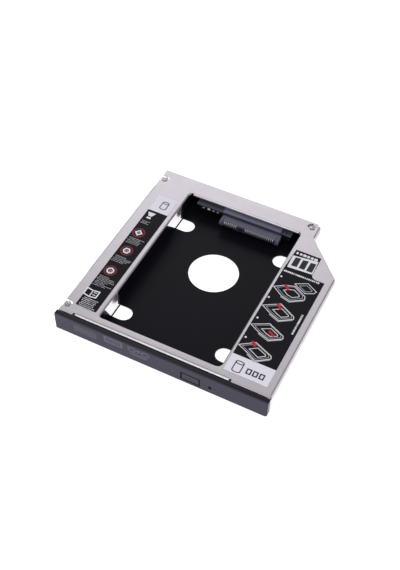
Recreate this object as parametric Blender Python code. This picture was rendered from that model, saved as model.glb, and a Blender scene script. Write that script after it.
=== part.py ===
"""Second-drive caddy that fills a 12.7 mm slim optical bay and holds one 2.5 inch drive.

A folded aluminium cover lies on a black moulded tray. The tray has a drive well, and at the well's
back an adapter board with a 7 + 15 contact receptacle for the drive and a 7 + 6 contact plug for
the computer's bay. A black bezel with an eject button closes the front.

X runs to the right, Y from the bezel to the back and Z up. The origin is the middle of the
caddy's footprint, on its underside. All sizes are in metres.
"""
import math

import bmesh
import bpy

MM = 0.001

# Drive that the caddy holds
DRIVE_WIDTH = 69.85 * MM
DRIVE_LENGTH = 100.3 * MM
DRIVE_SIDE_ROOM = 2.075 * MM
DRIVE_FRONT_ROOM = 5.2 * MM

# Whole caddy
LEFT_WING = 23.0 * MM
RIGHT_WING = 31.0 * MM
BODY_HEIGHT = 12.7 * MM
BEZEL_DEPTH = 3.7 * MM
FRONT_BEAM_DEPTH = 5.5 * MM
BACK_BAY_DEPTH = 15.1 * MM
GAP = 0.3 * MM

# Aluminium cover: flat sheet with folded edges
SHEET = 0.8 * MM
BEND_RADIUS = 1.0 * MM
BEND_STEPS = 4
PLAIN_EDGE_INSET = 0.5 * MM
WING_FLANGE = 4.0 * MM
LEFT_FLANGE_FROM_FRONT = 31.0 * MM
LEFT_FLANGE_FROM_BACK = 15.1 * MM
RIGHT_FLANGE_FROM_FRONT = 1.6 * MM
CORNER_CUT_DEPTH = 35.8 * MM
BACK_EDGE_PAST_WELL = 6.2 * MM
BACK_TAB = 4.6 * MM
BACK_TAB_OFFSET = 2.0 * MM
BACK_TAB_LENGTH = 9.8 * MM
BACK_TAB_FROM_BACK = 1.7 * MM
FRONT_LIP = 2.6 * MM
FRONT_LIP_FROM_LEFT = 10.5 * MM
FRONT_LIP_FROM_RIGHT = 24.1 * MM
LIP_RELIEF_WIDTH = 1.4 * MM
LIP_RELIEF_DEPTH = 1.6 * MM
LIP_GROOVE_WIDTH = 0.25 * MM
LIP_GROOVE_DEPTH = 0.2 * MM
OPENING_LEFT_SETBACK = 0.1 * MM
OPENING_RIGHT_OVERHANG = 0.5 * MM
OPENING_FRONT_SETBACK = 0.3 * MM
OPENING_PAST_DRIVE = 3.1 * MM
OPENING_RADIUS = 1.4 * MM
OPENING_RADIUS_FRONT_RIGHT = 2.8 * MM
CORNER_RELIEF_RADIUS = 0.8 * MM

# Pressed seats for the cover screws: distance from the sheet's edges
EAR_DROP = 0.6 * MM
EAR_SLIT = 0.9 * MM
EAR_LENGTH = 4.4 * MM
FRONT_EAR_INSET = (2.7 * MM, 5.4 * MM)
BACK_LEFT_EAR_INSET = (3.2 * MM, 8.1 * MM)
BACK_RIGHT_EAR_INSET = (2.6 * MM, 4.2 * MM)
LEFT_EAR_SLIT_TURN = 25
RIGHT_EAR_SLIT_TURN = (186, 96)

# Hooks of the cover that hang in the tray's left windows
HOOK_WIDTH = 5.8 * MM
HOOK_DEPTH = 7.4 * MM
HOOK_RADIUS = 3.2 * MM
HOOK_TOE_RADIUS = 0.6 * MM
HOOK_ROOM = 0.7 * MM
HOOK_INSET = 0.05 * MM

# Drive well in the tray
WALL = 1.2 * MM
FLOOR = 1.0 * MM
ACCESS_HOLE_RADIUS = 14.9 * MM
ACCESS_HOLE_FROM_DRIVE_END = 38.7 * MM
SLOT_FROM_DRIVE_END = 12.3 * MM
SLOT_FROM_DRIVE_FRONT = 11.0 * MM
SLOT_HALF_WIDTH = 4.9 * MM
SLOT_LENGTH = 10.1 * MM
FOLD_BAR = 0.5 * MM
FOLD_BAR_SHAVING = 0.1 * MM
FRONT_WINDOW_LEAN = 6.0 * MM
BACK_WINDOW_LEAN = 11.6 * MM

# Beams of the tray under the front and back edges of the cover
FRONT_BEAM_LEFT_INSET = 2.0 * MM
FRONT_BEAM_RIGHT_INSET = 4.0 * MM
BACK_BEAM_LEFT_INSET = 5.5 * MM
BACK_BEAM_RIGHT_INSET = 0.8 * MM
BACK_BEAM_DEPTH = 11.1 * MM
BEAM_RIB_PITCH = 20.0 * MM

# Screws
SCREW_RADIUS = 0.8 * MM
SCREW_HEAD_RADIUS = 1.5 * MM
SCREW_HEAD = 0.4 * MM
SCREW_HEAD_EDGE = 0.12 * MM
SCREW_SEAT_GAP = 0.2 * MM
SCREW_LENGTH = 6.0 * MM
CROSS_REACH = 0.55
CROSS_HALF_WIDTH = 0.13
CROSS_DEPTH = 0.6
BOSS_RADIUS = 2.1 * MM

# Adapter board
BOARD_LEFT_INSET = 8.0 * MM
BOARD_RIGHT_INSET = 6.0 * MM
BOARD_BEFORE_DRIVE_END = 0.3 * MM
BOARD_UNDER_PLUG = 2.7 * MM
BOARD_THICKNESS = 1.0 * MM
BOARD_RADIUS = 0.5 * MM

# Drive receptacle: contact rows counted from the drive's middle
RECEPTACLE_REACH = 6.35 * MM
RECEPTACLE_ABOVE_BOARD = 1.5 * MM
RECEPTACLE_ROOF = 0.95 * MM
RECEPTACLE_SOLE = 0.35 * MM
SHELF_DEPTH = 0.8 * MM
SHELF_DROP = 0.4 * MM
RECEPTACLE_END_WALL = 2.5 * MM
RECEPTACLE_EDGE = 0.5 * MM
GUIDE_WIDTH = 1.4 * MM
GUIDE_REACH = 0.5 * MM
GUIDE_GROOVE_WIDTH = 0.4 * MM
GUIDE_GROOVE_DEPTH = 0.8 * MM
GUIDE_SETDOWN = 0.7 * MM
GUIDE_SIDE = 0.2 * MM
MOUTH_HEIGHT = 1.5 * MM
MOUTH_DEPTH = 4.0 * MM
MOUTH_MARGIN = 0.75 * MM
KEY_WIDTH = 1.1 * MM
KEY_DROP = 0.7 * MM
KEY_PITCH = 6.35 * MM
CONTACT_PITCH = 1.27 * MM
CONTACT_WIDTH = 0.5 * MM
CONTACT_THICKNESS = 0.2 * MM
CONTACT_SEAT_GAP = 0.1 * MM
CONTACT_TAIL = 1.9 * MM
CONTACT_BEND = 0.4 * MM
CONTACT_DIP = 0.3 * MM
CONTACT_SHANK = 0.8
CONTACT_BOW = ((0.65, 0.6), (0.5, 0.1), (0.38, 0.0), (0.1, 1.3))
CHANNEL_WIDTH = 1.0 * MM
CHANNEL_HEIGHT = 0.7 * MM
CHANNEL_OVERLAP = 0.2 * MM
FIRST_SIGNAL_OFFSET = -9.0 * MM
SIGNAL_CONTACTS = 7
POWER_CONTACTS = 15

# Bar that clamps the board and the receptacle
BAR_LEFT_INSET = 6.3 * MM
BAR_RIGHT_INSET = 5.5 * MM
BAR_PAST_DRIVE_END = -0.25 * MM
BAR_BELOW_COVER = 0.9 * MM
BAR_STEP = 0.8 * MM
BAR_STEP_BACK = 0.45 * MM
BAR_THICKNESS = 1.3 * MM
BAR_STEP_DEPTH = 5.8 * MM
BAR_EDGE = 0.3 * MM
BAR_HIGH_PAST_RECEPTACLE = 0.7 * MM
BAR_HIGH_SCREW_ROOM = 0.9 * MM
BAR_TAIL_ROOM = 0.8 * MM
BAR_FOOT_RADIUS = 1.6 * MM
BAR_SCREW_INSETS = (6.2 * MM, 4.1 * MM)
BAR_SCREW_FROM_BACK = 1.9 * MM

# Plug for the computer's bay
PLUG_FROM_DRIVE = 8.0 * MM
PLUG_HEIGHT = 5.4 * MM
PLUG_BELOW_COVER = 2.3 * MM
PLUG_DEPTH = 7.3 * MM
PLUG_BACK_INSET = 0.1 * MM
PLUG_SHELL = 0.8 * MM
PLUG_SIDE = 3.6 * MM
PLUG_MOUTH_DEPTH = 3.4 * MM
BLADE = 1.1 * MM
BLADE_REACH = 2.8 * MM
BLADE_ROOT = 0.5 * MM
BLADE_MARGIN = 1.0 * MM
PLUG_SIGNALS = 7
PLUG_POWERS = 6
PLUG_POWER_PITCH = 1.0 * MM
PLUG_ROW_GAP = 5.18 * MM
PLUG_CONTACT_WIDTH = 0.6 * MM
PLUG_CONTACT_THICKNESS = 0.15 * MM
PLUG_CONTACT_GAP = 0.1 * MM
PLUG_CONTACT_INSET = 0.3 * MM

# Bezel
BEZEL_OVERHANG = 0.3 * MM
BEZEL_WALL = 1.4 * MM
BEZEL_RIM = 1.2 * MM
BEZEL_EDGE_RADIUS = 0.4 * MM
BEZEL_RIGHT_FOOT_RADIUS = 1.7 * MM
BEZEL_CORNER_RADIUS = 0.5 * MM
LIGHT_FROM_BUTTON = 5.2 * MM
LIGHT_FROM_TOP = 6.8 * MM
LIGHT_WIDTH = 1.5 * MM
LIGHT_HEIGHT = 0.8 * MM
LIGHT_FLANGE = 0.5 * MM
LIGHT_FLANGE_THICKNESS = 0.7 * MM
EJECT_HOLE_FROM_BUTTON = 6.3 * MM
EJECT_HOLE_Z = 4.9 * MM
EJECT_HOLE_RADIUS = 0.6 * MM
SENSOR_HOLE_FROM_BUTTON = 9.4 * MM
SENSOR_HOLE_Z = 5.1 * MM
SENSOR_HOLE_RADIUS = 0.35 * MM
CLIP_FROM_LEFT = 18.0 * MM
CLIP_FROM_DRIVE = 2.0 * MM
CLIP_FROM_RIGHT = 14.0 * MM
CLIP_WIDTH = 5.0 * MM
CLIP_THICKNESS = 1.1 * MM
CLIP_Z = 5.2 * MM
CLIP_TIP = 1.2 * MM
CLIP_HOOK = 0.7 * MM
LUG_WIDTH = 0.8 * MM
LUG_SETDOWN = 0.1 * MM

# Eject button
BUTTON_FROM_RIGHT = 44.35 * MM
BUTTON_WIDTH = 10.5 * MM
BUTTON_BOTTOM = 2.7 * MM
BUTTON_TOP_FROM_TOP = 5.0 * MM
BUTTON_RADIUS = 0.5 * MM
BUTTON_GROOVE = 0.4 * MM
BUTTON_PLATE = 0.6 * MM
BUTTON_PLATE_MARGIN = 1.1 * MM
BUTTON_PLATE_FROM_TOP = 2.7 * MM
BUTTON_ARM = 0.9 * MM
ARM_THINNING = 0.05 * MM
BUTTON_SETBACK = 0.35 * MM
BUTTON_PIN_REACH = 16.1 * MM
BUTTON_PIN_RADIUS = 0.55 * MM
BUTTON_EYE_WALL = 0.6 * MM

# Printed labels
LABEL = 0.1 * MM
LABEL_GAP = 0.05 * MM
LABEL_RADIUS = 0.6 * MM
LEFT_LABEL_FROM_EDGE = 6.9 * MM
LEFT_LABEL_FROM_OPENING = 3.0 * MM
LEFT_LABEL_FROM_FRONT = 7.2 * MM
LEFT_LABEL_FROM_BACK = 21.9 * MM
RIGHT_LABEL_FROM_EDGE = 4.5 * MM
RIGHT_LABEL_FROM_OPENING = 1.9 * MM
RIGHT_LABEL_FROM_FRONT = 5.4 * MM
RIGHT_LABEL_FROM_CUT = 6.0 * MM
RIGHT_LABEL_HEAD_LEFT = 0.9 * MM
RIGHT_LABEL_HEAD_RIGHT = 8.6 * MM
RIGHT_LABEL_HEAD_LENGTH = 16.7 * MM
RIGHT_LABEL_NECK_RADIUS = 3.4 * MM

# Small parts on the board, counted from its left end
LED_FROM_LEFT = 6.4 * MM
LED_SIZE = (1.6 * MM, 0.7 * MM, 0.7 * MM)
CHIPS_FROM_LEFT = (2.8 * MM, 9.6 * MM, 12.4 * MM)
CHIP_SIZE = (1.3 * MM, 0.6 * MM, 0.45 * MM)
CHIP_INSET = 0.2 * MM
CHIP_SEAT_GAP = 0.1 * MM

# Places that follow from the sizes above
CLEAR = 2.0 * MM
WELL_WIDTH = DRIVE_WIDTH + 2 * DRIVE_SIDE_ROOM
BODY_WIDTH = LEFT_WING + WELL_WIDTH + RIGHT_WING
HALF_WIDTH = BODY_WIDTH / 2
PLAIN_X = HALF_WIDTH - PLAIN_EDGE_INSET
SHEET_UNDER = BODY_HEIGHT - SHEET
WELL_X0 = -HALF_WIDTH + LEFT_WING
WELL_X1 = WELL_X0 + WELL_WIDTH
DRIVE_X = (WELL_X0 + WELL_X1) / 2
DRIVE_FRONT_Y = FRONT_BEAM_DEPTH + DRIVE_FRONT_ROOM
DRIVE_END_Y = DRIVE_FRONT_Y + DRIVE_LENGTH
BODY_DEPTH = DRIVE_END_Y + BACK_BAY_DEPTH
OPENING_X = (WELL_X0 - OPENING_LEFT_SETBACK, WELL_X1 - OPENING_RIGHT_OVERHANG)
OPENING_Y = (FRONT_BEAM_DEPTH + OPENING_FRONT_SETBACK, DRIVE_END_Y + OPENING_PAST_DRIVE)
CORNER_CUT_Y = BODY_DEPTH - CORNER_CUT_DEPTH
BACK_EDGE_X = WELL_X1 + BACK_EDGE_PAST_WELL
LEFT_FLANGE_Y = (LEFT_FLANGE_FROM_FRONT, BODY_DEPTH - LEFT_FLANGE_FROM_BACK)
BACK_TAB_X = BACK_EDGE_X + BACK_TAB_OFFSET
BACK_TAB_END_Y = BODY_DEPTH - BACK_TAB_FROM_BACK
BACK_TAB_Y = (BACK_TAB_END_Y - BACK_TAB_LENGTH, BACK_TAB_END_Y)
FRONT_LIP_X = (-HALF_WIDTH + FRONT_LIP_FROM_LEFT, HALF_WIDTH - FRONT_LIP_FROM_RIGHT)
FRONT_EAR = (-HALF_WIDTH + FRONT_EAR_INSET[0], FRONT_EAR_INSET[1])
BACK_LEFT_EAR = (-HALF_WIDTH + BACK_LEFT_EAR_INSET[0], BODY_DEPTH - BACK_LEFT_EAR_INSET[1])
BACK_RIGHT_EAR = (BACK_EDGE_X - BACK_RIGHT_EAR_INSET[0], BODY_DEPTH - BACK_RIGHT_EAR_INSET[1])
EARS = (FRONT_EAR, BACK_LEFT_EAR, BACK_RIGHT_EAR)
EAR_TOP = BODY_HEIGHT - EAR_DROP
BOSS_TOP = EAR_TOP - SHEET - GAP
TRAY_TOP = BODY_HEIGHT - BEND_RADIUS - GAP
TRAY_BACK_Y = BODY_DEPTH - GAP
BAY_BACK_Y = TRAY_BACK_Y - WALL
FRONT_BEAM_X = (-HALF_WIDTH + FRONT_BEAM_LEFT_INSET, HALF_WIDTH - FRONT_BEAM_RIGHT_INSET)
BACK_BEAM_X = (-HALF_WIDTH + BACK_BEAM_LEFT_INSET, BACK_EDGE_X - BACK_BEAM_RIGHT_INSET)
BACK_BEAM_FRONT_Y = BODY_DEPTH - BACK_BEAM_DEPTH
SLOT_YS = (DRIVE_FRONT_Y + SLOT_FROM_DRIVE_FRONT, DRIVE_END_Y - SLOT_FROM_DRIVE_END)
PLUG_BACK_Y = BODY_DEPTH - PLUG_BACK_INSET
PLUG_FRONT_Y = BODY_DEPTH - PLUG_DEPTH
PLUG_TOP = SHEET_UNDER - PLUG_BELOW_COVER
PLUG_BOTTOM = PLUG_TOP - PLUG_HEIGHT
PLUG_FLOOR_Y = PLUG_BACK_Y - PLUG_MOUTH_DEPTH
PLUG_SIGNAL_SPAN = CONTACT_PITCH * (PLUG_SIGNALS - 1)
PLUG_POWER_SPAN = PLUG_POWER_PITCH * (PLUG_POWERS - 1)
PLUG_WIDTH = 2 * PLUG_SIDE + PLUG_SIGNAL_SPAN + PLUG_ROW_GAP + PLUG_POWER_SPAN
PLUG_CENTRE_X = DRIVE_X - PLUG_FROM_DRIVE
PLUG_X = (PLUG_CENTRE_X - PLUG_WIDTH / 2, PLUG_CENTRE_X + PLUG_WIDTH / 2)
PLUG_SIGNAL_X = PLUG_X[0] + PLUG_SIDE
PLUG_POWER_X = PLUG_SIGNAL_X + PLUG_SIGNAL_SPAN + PLUG_ROW_GAP
BOARD_X = (WELL_X0 + BOARD_LEFT_INSET, WELL_X1 - BOARD_RIGHT_INSET)
BOARD_Y = (DRIVE_END_Y - BOARD_BEFORE_DRIVE_END, PLUG_FRONT_Y + BOARD_UNDER_PLUG)
BAR_HIGH_TOP = SHEET_UNDER - BAR_BELOW_COVER
BAR_LOW_TOP = BAR_HIGH_TOP - BAR_STEP
BAR_LOW_UNDER = BAR_LOW_TOP - BAR_THICKNESS
BAR_UNDER = BAR_LOW_UNDER - BAR_TAIL_ROOM
BOARD_TOP = BAR_UNDER - GAP
BOARD_UNDER = BOARD_TOP - BOARD_THICKNESS
FIRST_SIGNAL_X = DRIVE_X + FIRST_SIGNAL_OFFSET
LAST_SIGNAL_X = FIRST_SIGNAL_X + CONTACT_PITCH * (SIGNAL_CONTACTS - 1)
FIRST_POWER_X = LAST_SIGNAL_X + KEY_PITCH
LAST_POWER_X = FIRST_POWER_X + CONTACT_PITCH * (POWER_CONTACTS - 1)
RECEPTACLE_ENDS = MOUTH_MARGIN + RECEPTACLE_END_WALL
RECEPTACLE_X = (FIRST_SIGNAL_X - RECEPTACLE_ENDS, LAST_POWER_X + RECEPTACLE_ENDS)
RECEPTACLE_Y = (DRIVE_END_Y - RECEPTACLE_REACH, BOARD_Y[0] - GAP)
RECEPTACLE_TOP = BOARD_TOP + RECEPTACLE_ABOVE_BOARD
MOUTH_TOP = RECEPTACLE_TOP - RECEPTACLE_ROOF
MOUTH_BOTTOM = MOUTH_TOP - MOUTH_HEIGHT
RECEPTACLE_BOTTOM = MOUTH_BOTTOM - KEY_DROP - RECEPTACLE_SOLE
BAR_X = (WELL_X0 + BAR_LEFT_INSET, WELL_X1 - BAR_RIGHT_INSET)
BAR_Y = (DRIVE_END_Y + BAR_PAST_DRIVE_END, PLUG_FRONT_Y - GAP)
BOARD_SCREW_Y = BAR_Y[1] - BAR_SCREW_FROM_BACK
BOARD_SCREW_X = (BAR_X[0] + BAR_SCREW_INSETS[0], BAR_X[1] - BAR_SCREW_INSETS[1])
BAR_HIGH_END_X = BOARD_SCREW_X[1] - SCREW_HEAD_RADIUS - BAR_HIGH_SCREW_ROOM
BAR_HIGH_X = (RECEPTACLE_X[0] - BAR_HIGH_PAST_RECEPTACLE, BAR_HIGH_END_X)
BEZEL_BACK_Y = -GAP
BEZEL_INNER_Y = -BEZEL_DEPTH + BEZEL_WALL
CLIP_X = (-HALF_WIDTH + CLIP_FROM_LEFT, DRIVE_X - CLIP_FROM_DRIVE, HALF_WIDTH - CLIP_FROM_RIGHT)
LIGHT_Z = BODY_HEIGHT - LIGHT_FROM_TOP
BUTTON_MIDDLE_X = HALF_WIDTH - BUTTON_FROM_RIGHT
BUTTON_X = (BUTTON_MIDDLE_X - BUTTON_WIDTH / 2, BUTTON_MIDDLE_X + BUTTON_WIDTH / 2)
LIGHT_X = BUTTON_X[0] - LIGHT_FROM_BUTTON
EJECT_HOLE_X = BUTTON_X[1] + EJECT_HOLE_FROM_BUTTON
SENSOR_HOLE_X = BUTTON_X[1] + SENSOR_HOLE_FROM_BUTTON
BUTTON_Z = (BUTTON_BOTTOM, BODY_HEIGHT - BUTTON_TOP_FROM_TOP)
BUTTON_PLATE_TOP = BODY_HEIGHT - BUTTON_PLATE_FROM_TOP
BUTTON_PIN_X = (BUTTON_MIDDLE_X - BUTTON_PIN_REACH, BUTTON_MIDDLE_X + BUTTON_PIN_REACH)
BUTTON_PIN_Z = BUTTON_PLATE_TOP - BUTTON_ARM / 2
LEFT_LABEL_X = (-HALF_WIDTH + LEFT_LABEL_FROM_EDGE, OPENING_X[0] - LEFT_LABEL_FROM_OPENING)
LEFT_LABEL_Y = (LEFT_LABEL_FROM_FRONT, BODY_DEPTH - LEFT_LABEL_FROM_BACK)
RIGHT_LABEL_X = (OPENING_X[1] + RIGHT_LABEL_FROM_OPENING, HALF_WIDTH - RIGHT_LABEL_FROM_EDGE)
RIGHT_LABEL_Y = (RIGHT_LABEL_FROM_FRONT, CORNER_CUT_Y - RIGHT_LABEL_FROM_CUT)
RIGHT_LABEL_HEAD_X = (RIGHT_LABEL_X[0] + RIGHT_LABEL_HEAD_LEFT, RIGHT_LABEL_X[1] - RIGHT_LABEL_HEAD_RIGHT)
RIGHT_LABEL_HEAD_Y = RIGHT_LABEL_Y[1] + RIGHT_LABEL_HEAD_LENGTH


def clear_scene():
    """Remove what the file holds, so that only the caddy is left."""
    for obj in list(bpy.data.objects):
        bpy.data.objects.remove(obj, do_unlink=True)


def make_frame():
    """Empty that carries every piece: its own zero is the middle of the cover's front edge."""
    frame = bpy.data.objects.new("caddy_frame", None)
    frame.location = (0.0, -(BODY_DEPTH - BEZEL_DEPTH) / 2, 0.0)
    bpy.context.scene.collection.objects.link(frame)
    return frame


def make_material(name, colour, roughness, metallic=0.0):
    """Plain material with the colour, roughness and metal value of the real finish."""
    material = bpy.data.materials.new(name)
    material.use_nodes = True
    shader = material.node_tree.nodes["Principled BSDF"]
    shader.inputs["Base Color"].default_value = (*colour, 1.0)
    shader.inputs["Roughness"].default_value = roughness
    shader.inputs["Metallic"].default_value = metallic
    return material


def arc(centre, radius, start, end, steps=6):
    """Points on an arc from one angle to another, in degrees, both ends included."""
    points = []
    for step in range(steps + 1):
        angle = math.radians(start + (end - start) * step / steps)
        points.append((centre[0] + radius * math.cos(angle), centre[1] + radius * math.sin(angle)))
    return points


def circle(centre, radius, steps=24):
    """Closed outline of a circle."""
    return arc(centre, radius, 0.0, 360.0, steps)[:-1]


def rounded_rect(x_span, y_span, radii, steps=4):
    """Rectangle with its own radius at the low-low, high-low, high-high and low-high corner."""
    (x0, x1), (y0, y1) = x_span, y_span
    corners = ((x0, y0, 1, 1, 180), (x1, y0, -1, 1, 270), (x1, y1, -1, -1, 0), (x0, y1, 1, -1, 90))
    points = []
    for (x, y, in_x, in_y, start), radius in zip(corners, radii):
        centre = (x + in_x * radius, y + in_y * radius)
        points += arc(centre, radius, start, start + 90, steps)
    return points


def box(x_span, y_span):
    """Closed outline of a plain rectangle."""
    (x0, x1), (y0, y1) = x_span, y_span
    return [(x0, y0), (x1, y0), (x1, y1), (x0, y1)]


def ribbon(path, width):
    """Outline of a band of even width along a path, with square ends."""
    left, right = [], []
    last = len(path) - 1
    for index, (x, y) in enumerate(path):
        x0, y0 = path[max(index - 1, 0)]
        x1, y1 = path[min(index + 1, last)]
        length = math.hypot(x1 - x0, y1 - y0)
        side_x, side_y = -(y1 - y0) / length * width / 2, (x1 - x0) / length * width / 2
        left.append((x + side_x, y + side_y))
        right.append((x - side_x, y - side_y))
    return left + right[::-1]


def place(point, height, axis):
    """Point of an outline, lifted along the axis that the outline is pushed out on."""
    a, b = point
    return {"X": (height, a, b), "Y": (a, height, b), "Z": (a, b, height)}[axis]


def finish_mesh(bm, name):
    """Turn the faces outwards, shade the round stretches smooth and store the mesh."""
    bmesh.ops.recalc_face_normals(bm, faces=bm.faces)
    mesh = bpy.data.meshes.new(name)
    bm.to_mesh(mesh)
    bm.free()
    mesh.shade_smooth()
    mesh.set_sharp_from_angle(angle=math.radians(30.0))
    return mesh


def prism(outline, span, axis="Z", name="prism"):
    """Outline pushed out along an axis from the low to the high end of the span."""
    bm = bmesh.new()
    low = [bm.verts.new(place(point, span[0], axis)) for point in outline]
    high = [bm.verts.new(place(point, span[1], axis)) for point in outline]
    bm.faces.new(low)
    bm.faces.new(high)
    for index in range(len(outline)):
        after = (index + 1) % len(outline)
        bm.faces.new((low[index], low[after], high[after], high[index]))
    return finish_mesh(bm, name)


def spun(profile, centre, name="turned", steps=24):
    """Profile of (radius, height) points, closed on the axis, spun about a vertical axis."""
    bm = bmesh.new()
    rings = []
    for radius, height in profile:
        if radius == 0.0:
            rings.append([bm.verts.new((*centre, height))])
        else:
            rings.append([bm.verts.new((*point, height)) for point in circle(centre, radius, steps)])
    for below, above in zip(rings, rings[1:]):
        for index in range(steps):
            after = (index + 1) % steps
            corners = [below[index % len(below)], below[after % len(below)]]
            corners += [above[after % len(above)], above[index % len(above)]]
            bm.faces.new(list(dict.fromkeys(corners)))
    return finish_mesh(bm, name)


class Maker:
    """Builds the caddy's pieces on one parent empty."""

    def __init__(self, frame):
        self.frame = frame
        self.scene = bpy.context.scene.collection

    def piece(self, name, mesh, material):
        """One sub-part with its own material."""
        obj = bpy.data.objects.new(name, mesh)
        mesh.materials.append(material)
        obj.parent = self.frame
        self.scene.objects.link(obj)
        return obj

    def shape(self, obj, operation, meshes):
        """Join the meshes to the piece, or cut them out of it."""
        group = bpy.data.collections.new(f"{obj.name}_{operation.lower()}")
        self.scene.children.link(group)
        for mesh in meshes:
            tool = bpy.data.objects.new(f"{obj.name}_tool", mesh)
            tool.parent = self.frame
            tool.hide_render = True
            tool.display_type = "WIRE"
            group.objects.link(tool)
        boolean = obj.modifiers.new(operation.title(), "BOOLEAN")
        boolean.operation = operation
        boolean.solver = "EXACT"
        boolean.operand_type = "COLLECTION"
        boolean.collection = group

    def join(self, obj, *meshes):
        """Grow the piece by the meshes."""
        self.shape(obj, "UNION", meshes)

    def cut(self, obj, *meshes):
        """Cut the meshes out of the piece."""
        self.shape(obj, "DIFFERENCE", meshes)


def soften(obj, width, segments=2):
    """Round the sharp edges of a moulded piece."""
    bevel = obj.modifiers.new("Edges", "BEVEL")
    bevel.width = width
    bevel.segments = segments
    bevel.limit_method = "ANGLE"
    bevel.angle_limit = math.radians(40.0)


def opening_loop(growth):
    """Edge of the cover's opening with its inward directions, grown outwards by a distance."""
    radii = [OPENING_RADIUS, OPENING_RADIUS_FRONT_RIGHT, OPENING_RADIUS, OPENING_RADIUS]
    spans = ((OPENING_X[0], OPENING_X[1]), (OPENING_Y[0], OPENING_Y[1]))
    edge = rounded_rect(*spans, radii)
    grown_spans = [(low - growth, high + growth) for low, high in spans]
    grown = rounded_rect(*grown_spans, [radius + growth for radius in radii])
    loop = []
    for (x, y), (far_x, far_y) in zip(edge, grown):
        loop.append((far_x, far_y, (x - far_x) / growth, (y - far_y) / growth))
    return loop


def cover_outline():
    """Flat outline of the cover, with the fold depth of the edge that starts at each point."""
    bend_x = HALF_WIDTH - BEND_RADIUS
    step = PLAIN_EDGE_INSET
    lip_x0, lip_x1 = FRONT_LIP_X
    relief, relief_y = LIP_RELIEF_WIDTH, LIP_RELIEF_DEPTH
    left0, left1 = LEFT_FLANGE_Y
    tab0, tab1 = BACK_TAB_Y
    tab_x = BACK_TAB_X - BEND_RADIUS
    return [
        ((-PLAIN_X, 0.0), 0.0),
        ((lip_x0 - relief, 0.0), 0.0),
        ((lip_x0 - relief, relief_y), 0.0),
        ((lip_x0, relief_y), 0.0),
        ((lip_x0, BEND_RADIUS), FRONT_LIP),
        ((lip_x1, BEND_RADIUS), 0.0),
        ((lip_x1, relief_y), 0.0),
        ((lip_x1 + relief, relief_y), 0.0),
        ((lip_x1 + relief, 0.0), 0.0),
        ((PLAIN_X, 0.0), 0.0),
        ((PLAIN_X, RIGHT_FLANGE_FROM_FRONT - step), 0.0),
        ((bend_x, RIGHT_FLANGE_FROM_FRONT), WING_FLANGE),
        ((bend_x, CORNER_CUT_Y - step), 0.0),
        ((PLAIN_X, CORNER_CUT_Y), 0.0),
        ((tab_x, tab0), BACK_TAB),
        ((tab_x, tab1), 0.0),
        ((BACK_EDGE_X, tab1 + step), 0.0),
        ((BACK_EDGE_X, BODY_DEPTH), 0.0),
        ((-PLAIN_X, BODY_DEPTH), 0.0),
        ((-PLAIN_X, left1 + step), 0.0),
        ((-bend_x, left1), WING_FLANGE),
        ((-bend_x, left0), 0.0),
        ((-PLAIN_X, left0 - step), 0.0),
    ]


def sheet_point(record, depth):
    """Point of the folded sheet at a depth below its outer skin."""
    x, y, out_x, out_y, angle, leg = record
    reach = (BEND_RADIUS - depth) * math.sin(angle)
    height = BODY_HEIGHT - BEND_RADIUS + (BEND_RADIUS - depth) * math.cos(angle) - leg
    return x + out_x * reach, y + out_y * reach, height


def folded_sheet():
    """Cover as one folded sheet: a flat, its folded edges and the turned-down opening."""
    angles = [math.pi / 2 * step / BEND_STEPS for step in range(1, BEND_STEPS + 1)]
    outline = cover_outline()
    records = [(x, y, 0.0, 0.0, 0.0, 0.0) for (x, y), _ in outline]
    faces = []
    loop = opening_loop(BEND_RADIUS)
    loop_start = len(records)
    records += [(x, y, 0.0, 0.0, 0.0, 0.0) for x, y, _, _ in loop]
    rims = [list(range(len(outline))), list(range(loop_start, len(records)))]
    previous = rims[1]
    for angle in angles:
        ring = list(range(len(records), len(records) + len(loop)))
        records += [(x, y, in_x, in_y, angle, 0.0) for x, y, in_x, in_y in loop]
        for index in range(len(loop)):
            after = (index + 1) % len(loop)
            faces.append((previous[index], previous[after], ring[after], ring[index]))
        previous = ring
    for index, ((x0, y0), fold) in enumerate(outline):
        if fold == 0.0:
            continue
        after = (index + 1) % len(outline)
        x1, y1 = outline[after][0]
        length = math.hypot(x1 - x0, y1 - y0)
        out_x, out_y = (y1 - y0) / length, (x0 - x1) / length
        steps = [(angle, 0.0) for angle in angles] + [(math.pi / 2, fold - BEND_RADIUS)]
        start, end = index, after
        for angle, leg in steps:
            records += [(x0, y0, out_x, out_y, angle, leg), (x1, y1, out_x, out_y, angle, leg)]
            new_start, new_end = len(records) - 2, len(records) - 1
            faces.append((end, start, new_start, new_end))
            start, end = new_start, new_end
    return two_skins(records, faces, rims)


def two_skins(records, faces, rims):
    """Fill the flat between its rims, add the inner skin and close the edges."""
    flat = bmesh.new()
    verts = [flat.verts.new(sheet_point(record, 0.0)) for record in records]
    flat.verts.index_update()
    edges = []
    for rim in rims:
        for index, vert in enumerate(rim):
            edges.append(flat.edges.new((verts[vert], verts[rim[(index + 1) % len(rim)]])))
    filled = bmesh.ops.triangle_fill(flat, use_beauty=True, edges=edges)
    flat_faces = [item for item in filled["geom"] if isinstance(item, bmesh.types.BMFace)]
    skin = [tuple(vert.index for vert in face.verts) for face in flat_faces] + faces
    flat.free()
    bm = bmesh.new()
    outer = [bm.verts.new(sheet_point(record, 0.0)) for record in records]
    inner = [bm.verts.new(sheet_point(record, SHEET)) for record in records]
    uses = {}
    for face in skin:
        bm.faces.new([outer[index] for index in face])
        bm.faces.new([inner[index] for index in reversed(face)])
        for index, vert in enumerate(face):
            edge = tuple(sorted((vert, face[(index + 1) % len(face)])))
            uses[edge] = uses.get(edge, 0) + 1
    for (start, end), count in uses.items():
        if count == 1:
            bm.faces.new((outer[start], outer[end], inner[end], inner[start]))
    return finish_mesh(bm, "top_cover")


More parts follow.
